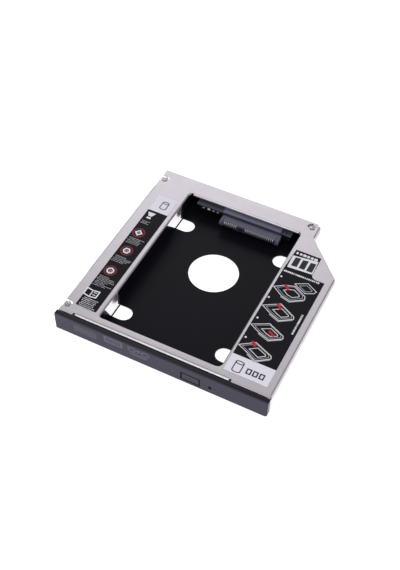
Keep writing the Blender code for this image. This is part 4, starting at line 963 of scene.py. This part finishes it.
def shrunk(outline: Outline, share: float, shift: Point = (0.0, 0.0)) -> list[Point]:
    """Return an outline drawn in towards its middle and moved.

    Args:
        outline: Corners of the shape.
        share: How much of its size is left.
        shift: How far it is moved.

    Returns:
        The new corners.
    """
    middle_x = sum(x for x, _ in outline) / len(outline)
    middle_y = sum(y for _, y in outline) / len(outline)
    return [
        (middle_x + (x - middle_x) * share + shift[0], middle_y + (y - middle_y) * share + shift[1])
        for x, y in outline
    ]


@dataclass(frozen=True)
class Mark:
    """Filled shape or, with a width in millimetres, a line along its corners."""

    path: Outline
    width: float = 0.0
    closed: bool = True


@dataclass
class Sheet:
    """Marks of one ink on one flat, each a thin closed solid at a level over the flat."""

    name: str
    ink: Ink
    marks: Sequence[Mark]
    level: float = 0.0
    ground: Ground = Ground.LABEL
    slot: str = "label_print"
    sharpest_mitre: float = 0.5
    shortest_way: float = 1e-6
    points: list[Vector] = field(default_factory=list)
    faces: list[tuple[int, ...]] = field(default_factory=list)

    def ring(self, outline: Outline) -> list[tuple[int, int]]:
        """Add each point of an outline at the ink's underside and top.

        Args:
            outline: Places on the flat.

        Returns:
            The two points' numbers for each place.
        """
        pairs = []
        for x, y in outline:
            for height in (self.level, self.level + INK_HEIGHT):
                self.points.append(self.ground.point(x, y, height))
            pairs.append((len(self.points) - 2, len(self.points) - 1))
        return pairs

    def wall(self, first: tuple[int, int], second: tuple[int, int]) -> None:
        """Add one upright face, seen from the right of the way from the first pair to the second."""
        self.faces.append((first[0], second[0], second[1], first[1]))

    def slab(self, outline: Outline) -> None:
        """Add a filled shape.

        Args:
            outline: Corners of the shape, either way round.
        """
        following = list(outline[1:]) + [outline[0]]
        turn = sum(a[0] * b[1] - b[0] * a[1] for a, b in zip(outline, following))
        pairs = self.ring(outline if turn > 0 else list(reversed(outline)))
        self.faces.append(tuple(top for _, top in pairs))
        self.faces.append(tuple(low for low, _ in reversed(pairs)))
        for first, second in zip(pairs, pairs[1:] + pairs[:1]):
            self.wall(first, second)

    def stroke(self, path: Outline, width: float, closed: bool = True) -> None:
        """Add a line of even width with mitred corners.

        Args:
            path: Corners of the line's middle.
            width: Width of the line in millimetres.
            closed: Whether the line runs back to its first point.
        """
        count = len(path)
        left, right = [], []
        for index, (x, y) in enumerate(path):
            before = path[index - 1] if index or closed else path[index]
            after = path[(index + 1) % count] if index < count - 1 or closed else path[index]
            ways = [Vector((x - before[0], y - before[1])), Vector((after[0] - x, after[1] - y))]
            ways = [way.normalized() for way in ways if way.length > self.shortest_way]
            sides = [Vector((-way.y, way.x)) for way in ways]
            middle = sum(sides, Vector((0.0, 0.0))).normalized()
            reach = width / 2 / max(middle.dot(sides[0]), self.sharpest_mitre)
            left.append((x + middle.x * reach, y + middle.y * reach))
            right.append((x - middle.x * reach, y - middle.y * reach))
        left_pairs, right_pairs = self.ring(left), self.ring(right)
        steps = [(index, (index + 1) % count) for index in range(count if closed else count - 1)]
        for a, b in steps:
            self.faces.append((right_pairs[a][1], right_pairs[b][1], left_pairs[b][1], left_pairs[a][1]))
            self.faces.append((left_pairs[a][0], left_pairs[b][0], right_pairs[b][0], right_pairs[a][0]))
            self.wall(right_pairs[a], right_pairs[b])
            self.wall(left_pairs[b], left_pairs[a])
        if not closed:
            self.wall(left_pairs[0], right_pairs[0])
            self.wall(right_pairs[-1], left_pairs[-1])

    def build(self) -> None:
        """Draw the marks and make one object of them, which rides with the caddy."""
        for mark in self.marks:
            if mark.width:
                self.stroke(mark.path, mark.width, mark.closed)
            else:
                self.slab(mark.path)
        mesh = bpy.data.meshes.new(self.name)
        mesh.from_pydata(self.points, [], self.faces)
        mesh.materials.append(self.ink.material())
        piece = link(bpy.data.objects.new(self.name, mesh))
        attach(piece, "caddy")
        LOG.info("print %s with %d faces", self.name, len(self.faces))


@dataclass(frozen=True)
class StepDrawing:
    """One plain drawing of a frame seen at an angle, with a red mark that shows a move."""

    outer: tuple[Point, ...]
    arrow: tuple[Point, Point]
    dot: Point
    outer_width: float = 0.42
    ledge: tuple[float, Point] = (0.82, (0.1, 0.25))
    ledge_width: float = 0.30
    well: tuple[float, Point] = (0.50, (0.9, 0.1))
    well_width: float = 0.40
    side_drop: Point = (0.15, 0.75)
    side_width: float = 0.65
    shaft_share: float = 0.78
    shaft_half: float = 0.75
    head_length: float = 1.7
    head_half: float = 1.5
    dot_radius: float = 0.62
    dot_sides: int = 20

    def white(self) -> list[Mark]:
        """Return the frame's outlines and the dot."""
        lines = [Mark(self.outer, self.outer_width), Mark(shrunk(self.outer, *self.well), self.well_width)]
        return lines + [Mark(circle(self.dot, self.dot_radius, self.dot_sides))]

    def grey(self) -> list[Mark]:
        """Return the frame's ledge and its near side.

        Returns:
            Two marks.
        """
        lowest = min(range(len(self.outer)), key=lambda index: self.outer[index][1])
        corners = [self.outer[lowest - 1], self.outer[lowest], self.outer[(lowest + 1) % len(self.outer)]]
        side = [(x - self.side_drop[0], y - self.side_drop[1]) for x, y in corners]
        ledge = Mark(shrunk(self.outer, *self.ledge), self.ledge_width)
        return [ledge, Mark(side, self.side_width, closed=False)]

    def red(self) -> list[Mark]:
        """Return the mark that shows the move.

        Returns:
            One filled mark.
        """
        end = Vector(self.arrow[1])
        start = end.lerp(Vector(self.arrow[0]), self.shaft_share)
        way = (end - start).normalized()
        side = Vector((-way.y, way.x))
        neck = end - way * self.head_length
        head, shaft = side * self.head_half, side * self.shaft_half
        corners = [end, neck + head, neck + shaft, start + shaft, start - shaft, neck - shaft, neck - head]
        return [Mark([tuple(corner) for corner in corners])]


STEP_DRAWINGS = (
    StepDrawing(
        ((34.9, 69.3), (39.9, 72.8), (45.5, 74.8), (53.5, 70.3), (54.1, 68.0), (47.3, 63.5), (41.4, 65.0)),
        ((39.3, 74.3), (43.6, 70.3)), (35.7, 78.1),
    ),
    StepDrawing(
        ((34.9, 54.0), (43.8, 59.5), (53.5, 54.3), (54.1, 52.6), (47.3, 48.1), (40.9, 50.7)),
        ((41.0, 59.9), (45.4, 55.4)), (35.6, 60.9),
    ),
    StepDrawing(
        ((34.8, 39.0), (43.9, 43.9), (53.7, 39.4), (54.3, 37.6), (47.9, 33.5), (41.1, 35.7)),
        ((44.4, 39.9), (49.6, 36.7)), (36.1, 44.7),
    ),
    StepDrawing(
        ((34.8, 23.5), (42.6, 28.9), (53.4, 24.3), (54.0, 22.6), (47.1, 17.6), (41.5, 20.5)),
        ((39.4, 29.6), (43.8, 26.0)), (36.0, 29.7),
    ),
)
LOOSE_FRAME = ((44.8, 76.5), (51.4, 80.0), (57.9, 76.3), (57.0, 74.6), (52.6, 72.4), (47.4, 74.8))


def drum(x: Point, y: Point, width: float, squash: float = 0.42) -> list[Mark]:
    """Draw a plain upright drum.

    Args:
        x: Its two sides.
        y: Its lower and upper end.
        width: Width of its lines in millimetres.
        squash: Height of its round lid as a share of the lid's width.

    Returns:
        The lid's line and the line round the sides and the foot.
    """
    middle, radius = sum(x) / 2, (x[1] - x[0]) / 2
    foot_y, rim_y = y[0] + radius * squash, y[1] - radius * squash
    foot = circle((middle, foot_y), radius, squash=squash)
    body = [(x[0], rim_y), *foot[len(foot) // 2:], (x[1], foot_y), (x[1], rim_y)]
    return [Mark(circle((middle, rim_y), radius, squash=squash), width), Mark(body, width, closed=False)]


def repeated(shape: Outline, starts: Sequence[float], width: float = 0.0) -> list[Mark]:
    """Return a shape's mark for each start, moved to the right by it."""
    return [Mark([(x + start, y) for x, y in shape], width) for start in starts]


class RowTree(PartTree):
    """Rows of short bars, as fine print looks from afar."""

    name = "print_rows"
    plan = (
        ("Columns", "Int", 8), ("Rows", "Int", 4), ("Pitch", "Float", 1.2 * MM),
        ("Row Pitch", "Float", 1.2 * MM), ("Bar Height", "Float", 0.5 * MM), ("Ragged", "Float", 0.3),
        ("Seed", "Int", 7), ("Finish", "Material", None),
    )
    # Shares of the pitch.
    row_shift = 0.618
    shortest = 0.42
    length_swing = 0.5

    def wire(self, graph: Graph, given: bpy.types.NodeOutputs) -> Socket:
        """Set a bar of random length on each point of a grid, with some left out at the rows' ends.

        Args:
            graph: The tree's graph.
            given: The tree's inputs by name.

        Returns:
            The shape, which has no material yet.
        """
        columns, pitch = given["Columns"], given["Pitch"]
        index = graph.out("GeometryNodeInputIndex")
        row = graph.maths("FLOOR", graph.maths("DIVIDE", index, columns))
        column = graph.maths("MODULO", index, columns)
        across = graph.maths("ADD", column, graph.maths("FRACT", graph.times(row, self.row_shift)))
        place = graph.vector(x=graph.times(across, pitch), y=graph.times(row, given["Row Pitch"]))
        grid = {"Count": graph.times(columns, given["Rows"]), "Position": place}
        points = graph.out("GeometryNodePoints", grid)
        chance = {2: 0.0, 3: 1.0, "Seed": given["Seed"]}
        share = graph.add("FunctionNodeRandomValue", chance, data_type="FLOAT").outputs[1]
        row_end = graph.add("FunctionNodeRandomValue", chance | {"ID": row}, data_type="FLOAT").outputs[1]
        left_out = graph.times(graph.times(row_end, given["Ragged"]), columns)
        late = graph.maths("GREATER_THAN", column, graph.maths("SUBTRACT", columns, left_out))
        kept = graph.out("GeometryNodeDeleteGeometry", {0: points, 1: late}, domain="POINT")
        cube = graph.out("GeometryNodeMeshCube", {"Size": (1.0, 1.0, 1.0)})
        length = graph.maths("ADD", graph.times(share, self.length_swing), self.shortest)
        size = graph.vector(x=graph.times(pitch, length), y=given["Bar Height"], z=INK_HEIGHT * MM)
        bars = {"Points": kept, "Instance": cube, "Scale": size}
        return graph.out("GeometryNodeInstanceOnPoints", bars)


@dataclass
class PrintRows:
    """Block of fine print, drawn as rows of short bars that hold no words."""

    name: str
    x: Point
    y: Point
    rows: int
    pitch: float = 1.1
    height: float = 0.55
    ragged: float = 0.35
    seed: int = 3
    turn: float = 0.0
    ink: Ink = Ink.GREY

    def build(self, tree: RowTree) -> None:
        """Make the rows as one plain mesh, which rides with the caddy.

        Args:
            tree: Tree that makes the rows.
        """
        wide, deep = self.x[1] - self.x[0], self.y[1] - self.y[0]
        if self.turn:
            wide, deep = deep, wide
        row_pitch = deep / self.rows
        values = {
            "Columns": max(int(wide / self.pitch), 1), "Rows": self.rows, "Pitch": self.pitch * MM,
            "Row Pitch": row_pitch * MM, "Bar Height": self.height * MM, "Ragged": self.ragged,
            "Seed": self.seed, "Finish": self.ink.material(),
        }
        piece = tree.grow(self.name, values)
        start = Ground.LABEL.point(self.x[1] if self.turn else self.x[0], self.y[0], INK_HEIGHT / 2)
        inset = Matrix.Translation((self.pitch / 2 * MM, row_pitch / 2 * MM, 0.0))
        piece.data.transform(Matrix.Translation(start) @ Matrix.Rotation(self.turn, 4, "Z") @ inset)
        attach(piece, "caddy")
        LOG.info("rows %s with %d faces", self.name, len(piece.data.polygons))


# Starts of the bezel's upright bars, and their lower and upper ends, which step up and down.
BAR_STARTS = [-51.6 + 1.2 * index for index in range(12)]
BAR_ENDS = ((4.2, 10.2), (4.6, 9.7), (5.0, 10.2), (4.2, 9.7), (4.6, 10.2), (5.0, 9.7)) * 2
BAR_WIDTH = 0.55
DRUM_WIDTH = 0.55
# Middles of the left label's red rings, with the corners of the shapes in them.
RINGS = (((-52.6, 70.4), 4), ((-51.8, 54.7), 6), ((-52.4, 37.1), 8))
RING_SIZE = {"radius": 3.4, "count": 40}
SHAPE_RADIUS = 1.95
CORE_RADIUS = 0.8
CORE_SHIFT = (0.2, -0.3)
OPEN_OUTLINE = ((-57.2, 15.9), (-53.3, 15.2), (-49.4, 15.9), (-49.4, 20.5), (-53.3, 20.0), (-57.2, 20.5))
SHEETS = (
    Sheet(
        "bezel_print", Ink.BEZEL,
        (
            *(Mark(rectangle((x, x + BAR_WIDTH), ends)) for x, ends in zip(BAR_STARTS, BAR_ENDS)),
            Mark(rectangle((-32.2, -21.9), (7.1, 11.1)), 1.3),
            *repeated(rectangle((0.0, 0.9), (8.2, 10.0)), (-30.8, -29.15, -27.5, -25.85, -24.2)),
            Mark(circle((-15.6, 9.3), 2.1, 28, 0.8), 0.9),
            Mark(circle((-7.4, 9.3), 2.1, 28, 0.8), 0.9),
            Mark(((-12.9, 10.9), (-10.2, 10.9), (-11.5, 7.8))),
            Mark(circle((-11.5, 5.9), 5.6, 36, 0.14)),
        ),
        0.0, Ground.BEZEL, "bezel_plastic",
    ),
    # Painted shade of a crease across the cover's front.
    Sheet(
        "cover_front_crease_shade", Ink.CREASE, (Mark(rectangle(LIP_X, (1.45, 1.75))),),
        0.0, Ground.COVER, "aluminium_cover",
    ),
    # Painted shadow in the gap between the bezel and the cover's front lip.
    Sheet(
        "bezel_gap_shadow", Ink.SHADE, (Mark(rectangle(LIP_X, (-0.5, 0.1))),),
        0.0, Ground.COVER, "bezel_plastic",
    ),
    Sheet(
        "bezel_shades", Ink.SHADE,
        (Mark(circle((31.2, 4.9), 0.78, 24), 0.4), Mark(rectangle((14.2, 25.1), (2.5, 7.9)), 0.58)),
        0.0, Ground.BEZEL, "bezel_plastic",
    ),
    # Painted shade in the bar's slots.
    Sheet(
        "bar_slot_shades", Ink.SHADE, repeated(rectangle((0.0, 0.35), (111.25, 114.0)), (21.9, 24.1)),
        0.0, Ground.BAR, "bar_plastic",
    ),
    Sheet(
        "right_print_white", Ink.WHITE,
        (
            *(mark for step in STEP_DRAWINGS for mark in step.white()),
            Mark(LOOSE_FRAME, 0.4),
            Mark(((35.3, 96.0), (50.4, 97.9), (50.8, 87.3), (35.7, 86.3))),
        ),
    ),
    Sheet(
        "right_print_grey", Ink.GREY,
        (
            *(mark for step in STEP_DRAWINGS for mark in step.grey()),
            Mark(shrunk(LOOSE_FRAME, 0.6), 0.35),
        ),
        LOW_LEVEL,
    ),
    Sheet("right_print_red", Ink.RED, [mark for step in STEP_DRAWINGS for mark in step.red()], HIGH_LEVEL),
    Sheet(
        "right_print_dark", Ink.DARK,
        (
            *repeated(((0.0, 88.3), (3.5, 88.5), (3.4, 95.7), (0.1, 95.2)), (37.2, 41.9, 46.6)),
            *drum((38.4, 43.0), (6.5, 13.9), DRUM_WIDTH),
            *repeated(rectangle((0.0, 2.2), (8.4, 11.3)), (46.0, 49.7, 53.4), 0.75),
        ),
        HIGH_LEVEL,
    ),
    Sheet(
        "left_print_white", Ink.WHITE,
        (
            Mark(((-55.9, 88.6), (-50.9, 88.6), (-52.3, 85.4), (-54.5, 85.4))),
            Mark(((-54.6, 84.6), (-52.2, 84.6), (-51.8, 83.2), (-55.0, 83.2))),
            *(Mark(circle(middle, SHAPE_RADIUS, sides), 0.85) for middle, sides in RINGS),
            Mark(OPEN_OUTLINE, 0.75),
            Mark(rectangle((-53.6, -53.0), (15.4, 20.0))),
            Mark(rectangle((-52.2, -50.4), (17.0, 17.55))),
            Mark(rectangle((-52.2, -50.4), (18.7, 19.25))),
        ),
    ),
    Sheet(
        "left_print_grey", Ink.GREY,
        [
            Mark(circle((x + CORE_SHIFT[0], y + CORE_SHIFT[1]), CORE_RADIUS, sides), 0.35)
            for (x, y), sides in RINGS
        ],
        HIGH_LEVEL,
    ),
    Sheet("left_print_red", Ink.MAROON, [Mark(circle(middle, **RING_SIZE), 0.9) for middle, _ in RINGS]),
    Sheet("left_print_dark", Ink.DARK, drum((-51.8, -47.8), (93.9, 100.3), DRUM_WIDTH)),
)
PRINT_BLOCKS = (
    PrintRows("heading_rows", (35.1, 57.6), (81.9, 84.1), 1, 1.15, 1.15, 0.0, ink=Ink.WHITE),
    PrintRows("head_rows", (35.8, 50.6), (97.6, 99.9), 1, 2.3, 1.7, 0.0, 8, ink=Ink.WHITE),
    PrintRows("edge_rows", (56.7, 58.2), (42.6, 58.6), 1, 1.1, 1.1, 0.0, 4, math.pi / 2, Ink.WHITE),
    PrintRows("left_rows_1", (-56.3, -49.4), (78.2, 81.2), 3, 0.9, 0.42, 0.5, 5),
    PrintRows("left_rows_2", (-56.3, -45.7), (60.4, 65.8), 5, 0.9, 0.42, 0.4, 6),
    PrintRows("left_rows_3", (-56.5, -45.4), (44.2, 49.6), 5, 0.9, 0.42, 0.4, 7),
    PrintRows("left_rows_4", (-56.5, -45.4), (23.8, 32.2), 8, 0.9, 0.42, 0.5, 9),
    PrintRows("left_rows_5", (-56.1, -45.2), (6.4, 14.3), 7, 0.9, 0.42, 0.3, 11, ink=Ink.WHITE),
)


@dataclass
class Print:
    """All print and drawn shades: plain fields, drawings and rows that name nothing."""

    sheets: tuple[Sheet, ...] = SHEETS
    blocks: tuple[PrintRows, ...] = PRINT_BLOCKS

    def build(self) -> None:
        """Make the sheets, and the blocks of fine print from one shared tree."""
        for sheet in self.sheets:
            sheet.build()
        tree = RowTree()
        for rows in self.blocks:
            rows.build(tree)


@dataclass(frozen=True)
class Lamp:
    """Soft round lamp that is turned to the caddy."""

    name: str
    place: Place
    size: float
    power: float
    colour: Colour = (1.0, 0.985, 1.0)

    def hang(self) -> None:
        """Put the lamp in the scene."""
        data = bpy.data.lights.new(self.name, "AREA")
        data.shape = "DISK"
        data.size = self.size
        data.energy = self.power
        data.color = self.colour
        lamp = link(bpy.data.objects.new(self.name, data))
        lamp.location = self.place
        lamp.rotation_euler = (-Vector(self.place)).to_track_quat("-Z", "Y").to_euler()
        LOG.info("lamp %s", self.name)


LAMPS = (
    Lamp("back", (-0.40, 0.88, 0.80), 0.9, 2.62),
    Lamp("top", (0.1, -0.6, 1.0), 0.7, 3.4),
    Lamp("front", (-0.46, -0.30, 0.16), 0.4, 0.75, (1.0, 0.98, 1.0)),
    Lamp("right", (1.0, -0.1, 0.45), 0.6, 1.7, (0.97, 0.97, 1.0)),
)


@dataclass
class Studio:
    """White floor, soft lamps and the camera at the photograph's angle."""

    azimuth: float = 26.05
    elevation: float = 49.65
    roll: float = 1.08
    distance: float = 540.74
    lens: float = 58.874
    sensor: float = 36.0
    target: Place = (-7.10, 60.83, 0.0)
    floor_half: float = 3.0
    floor_gap: float = 0.05
    surround: Colour = (0.97, 0.965, 1.0)
    surround_strength: float = 0.40

    def build(self) -> None:
        """Make the floor, the lamps, the surroundings and the camera."""
        self.make_floor()
        for lamp in LAMPS:
            lamp.hang()
        self.make_world()
        self.make_camera()

    def make_floor(self) -> None:
        """Lay a plain white floor just under the caddy."""
        bm = bmesh.new()
        bmesh.ops.create_grid(bm, x_segments=2, y_segments=2, size=self.floor_half)
        mesh = bpy.data.meshes.new("floor")
        bm.to_mesh(mesh)
        bm.free()
        mesh.transform(Matrix.Translation((0.0, 0.0, -self.floor_gap * MM)))
        floor = link(bpy.data.objects.new("floor", mesh))
        paper = Finish("floor_paper", (0.93, 0.93, 0.95), 0.9, specular=0.05, mottle=0.0, relief=0, glow=0.6)
        floor.data.materials.append(paper.build())

    def make_world(self) -> None:
        """Surround the scene with white for the camera and soft grey for reflections."""
        world = bpy.data.worlds.new("studio")
        world.use_nodes = True
        graph = Graph(world.node_tree)
        seen = graph.add("ShaderNodeLightPath").outputs["Is Camera Ray"]
        dim = {"Color": rgba(self.surround), "Strength": self.surround_strength}
        grey = graph.out("ShaderNodeBackground", dim)
        white = graph.out("ShaderNodeBackground", {"Color": (1.0, 1.0, 1.0, 1.0), "Strength": 1.0})
        mixed = graph.out("ShaderNodeMixShader", {0: seen, 1: grey, 2: white})
        graph.add("ShaderNodeOutputWorld", {"Surface": mixed})
        bpy.context.scene.world = world

    def make_camera(self) -> None:
        """Stand the camera where the photograph was taken from."""
        around, up = math.radians(self.azimuth), math.radians(self.elevation)
        look = Vector((-math.sin(around) * math.cos(up), math.cos(around) * math.cos(up), -math.sin(up)))
        data = bpy.data.cameras.new("camera")
        data.lens = self.lens
        data.sensor_width = self.sensor
        camera = link(bpy.data.objects.new("camera", data))
        roll = Matrix.Rotation(math.radians(self.roll), 4, "Z").to_quaternion()
        turn = look.to_track_quat("-Z", "Y") @ roll
        camera.rotation_euler = turn.to_euler()
        camera.location = spot(*self.target) - look * self.distance * MM
        bpy.context.scene.camera = camera
        LOG.info("camera at %s", tuple(round(value, 4) for value in camera.location))


@dataclass
class Caddy:
    """The whole finished caddy."""

    groups: Sequence = (Housing(), Electronics(), Print())

    def build(self) -> None:
        """Build every group of pieces."""
        for group in self.groups:
            group.build()


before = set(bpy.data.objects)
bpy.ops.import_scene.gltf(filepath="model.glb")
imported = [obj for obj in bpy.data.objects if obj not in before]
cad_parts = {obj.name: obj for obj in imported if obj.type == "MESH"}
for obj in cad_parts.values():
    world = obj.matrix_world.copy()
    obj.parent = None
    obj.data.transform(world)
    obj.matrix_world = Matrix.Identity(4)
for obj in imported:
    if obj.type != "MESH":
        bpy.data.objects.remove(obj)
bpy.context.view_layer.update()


def main() -> None:
    """Build the studio and the caddy."""
    logging.basicConfig(level=logging.INFO, format="%(name)s: %(message)s")
    bpy.context.scene.view_settings.view_transform = "Standard"
    Studio().build()
    Caddy().build()


if __name__ == "__main__":
    main()
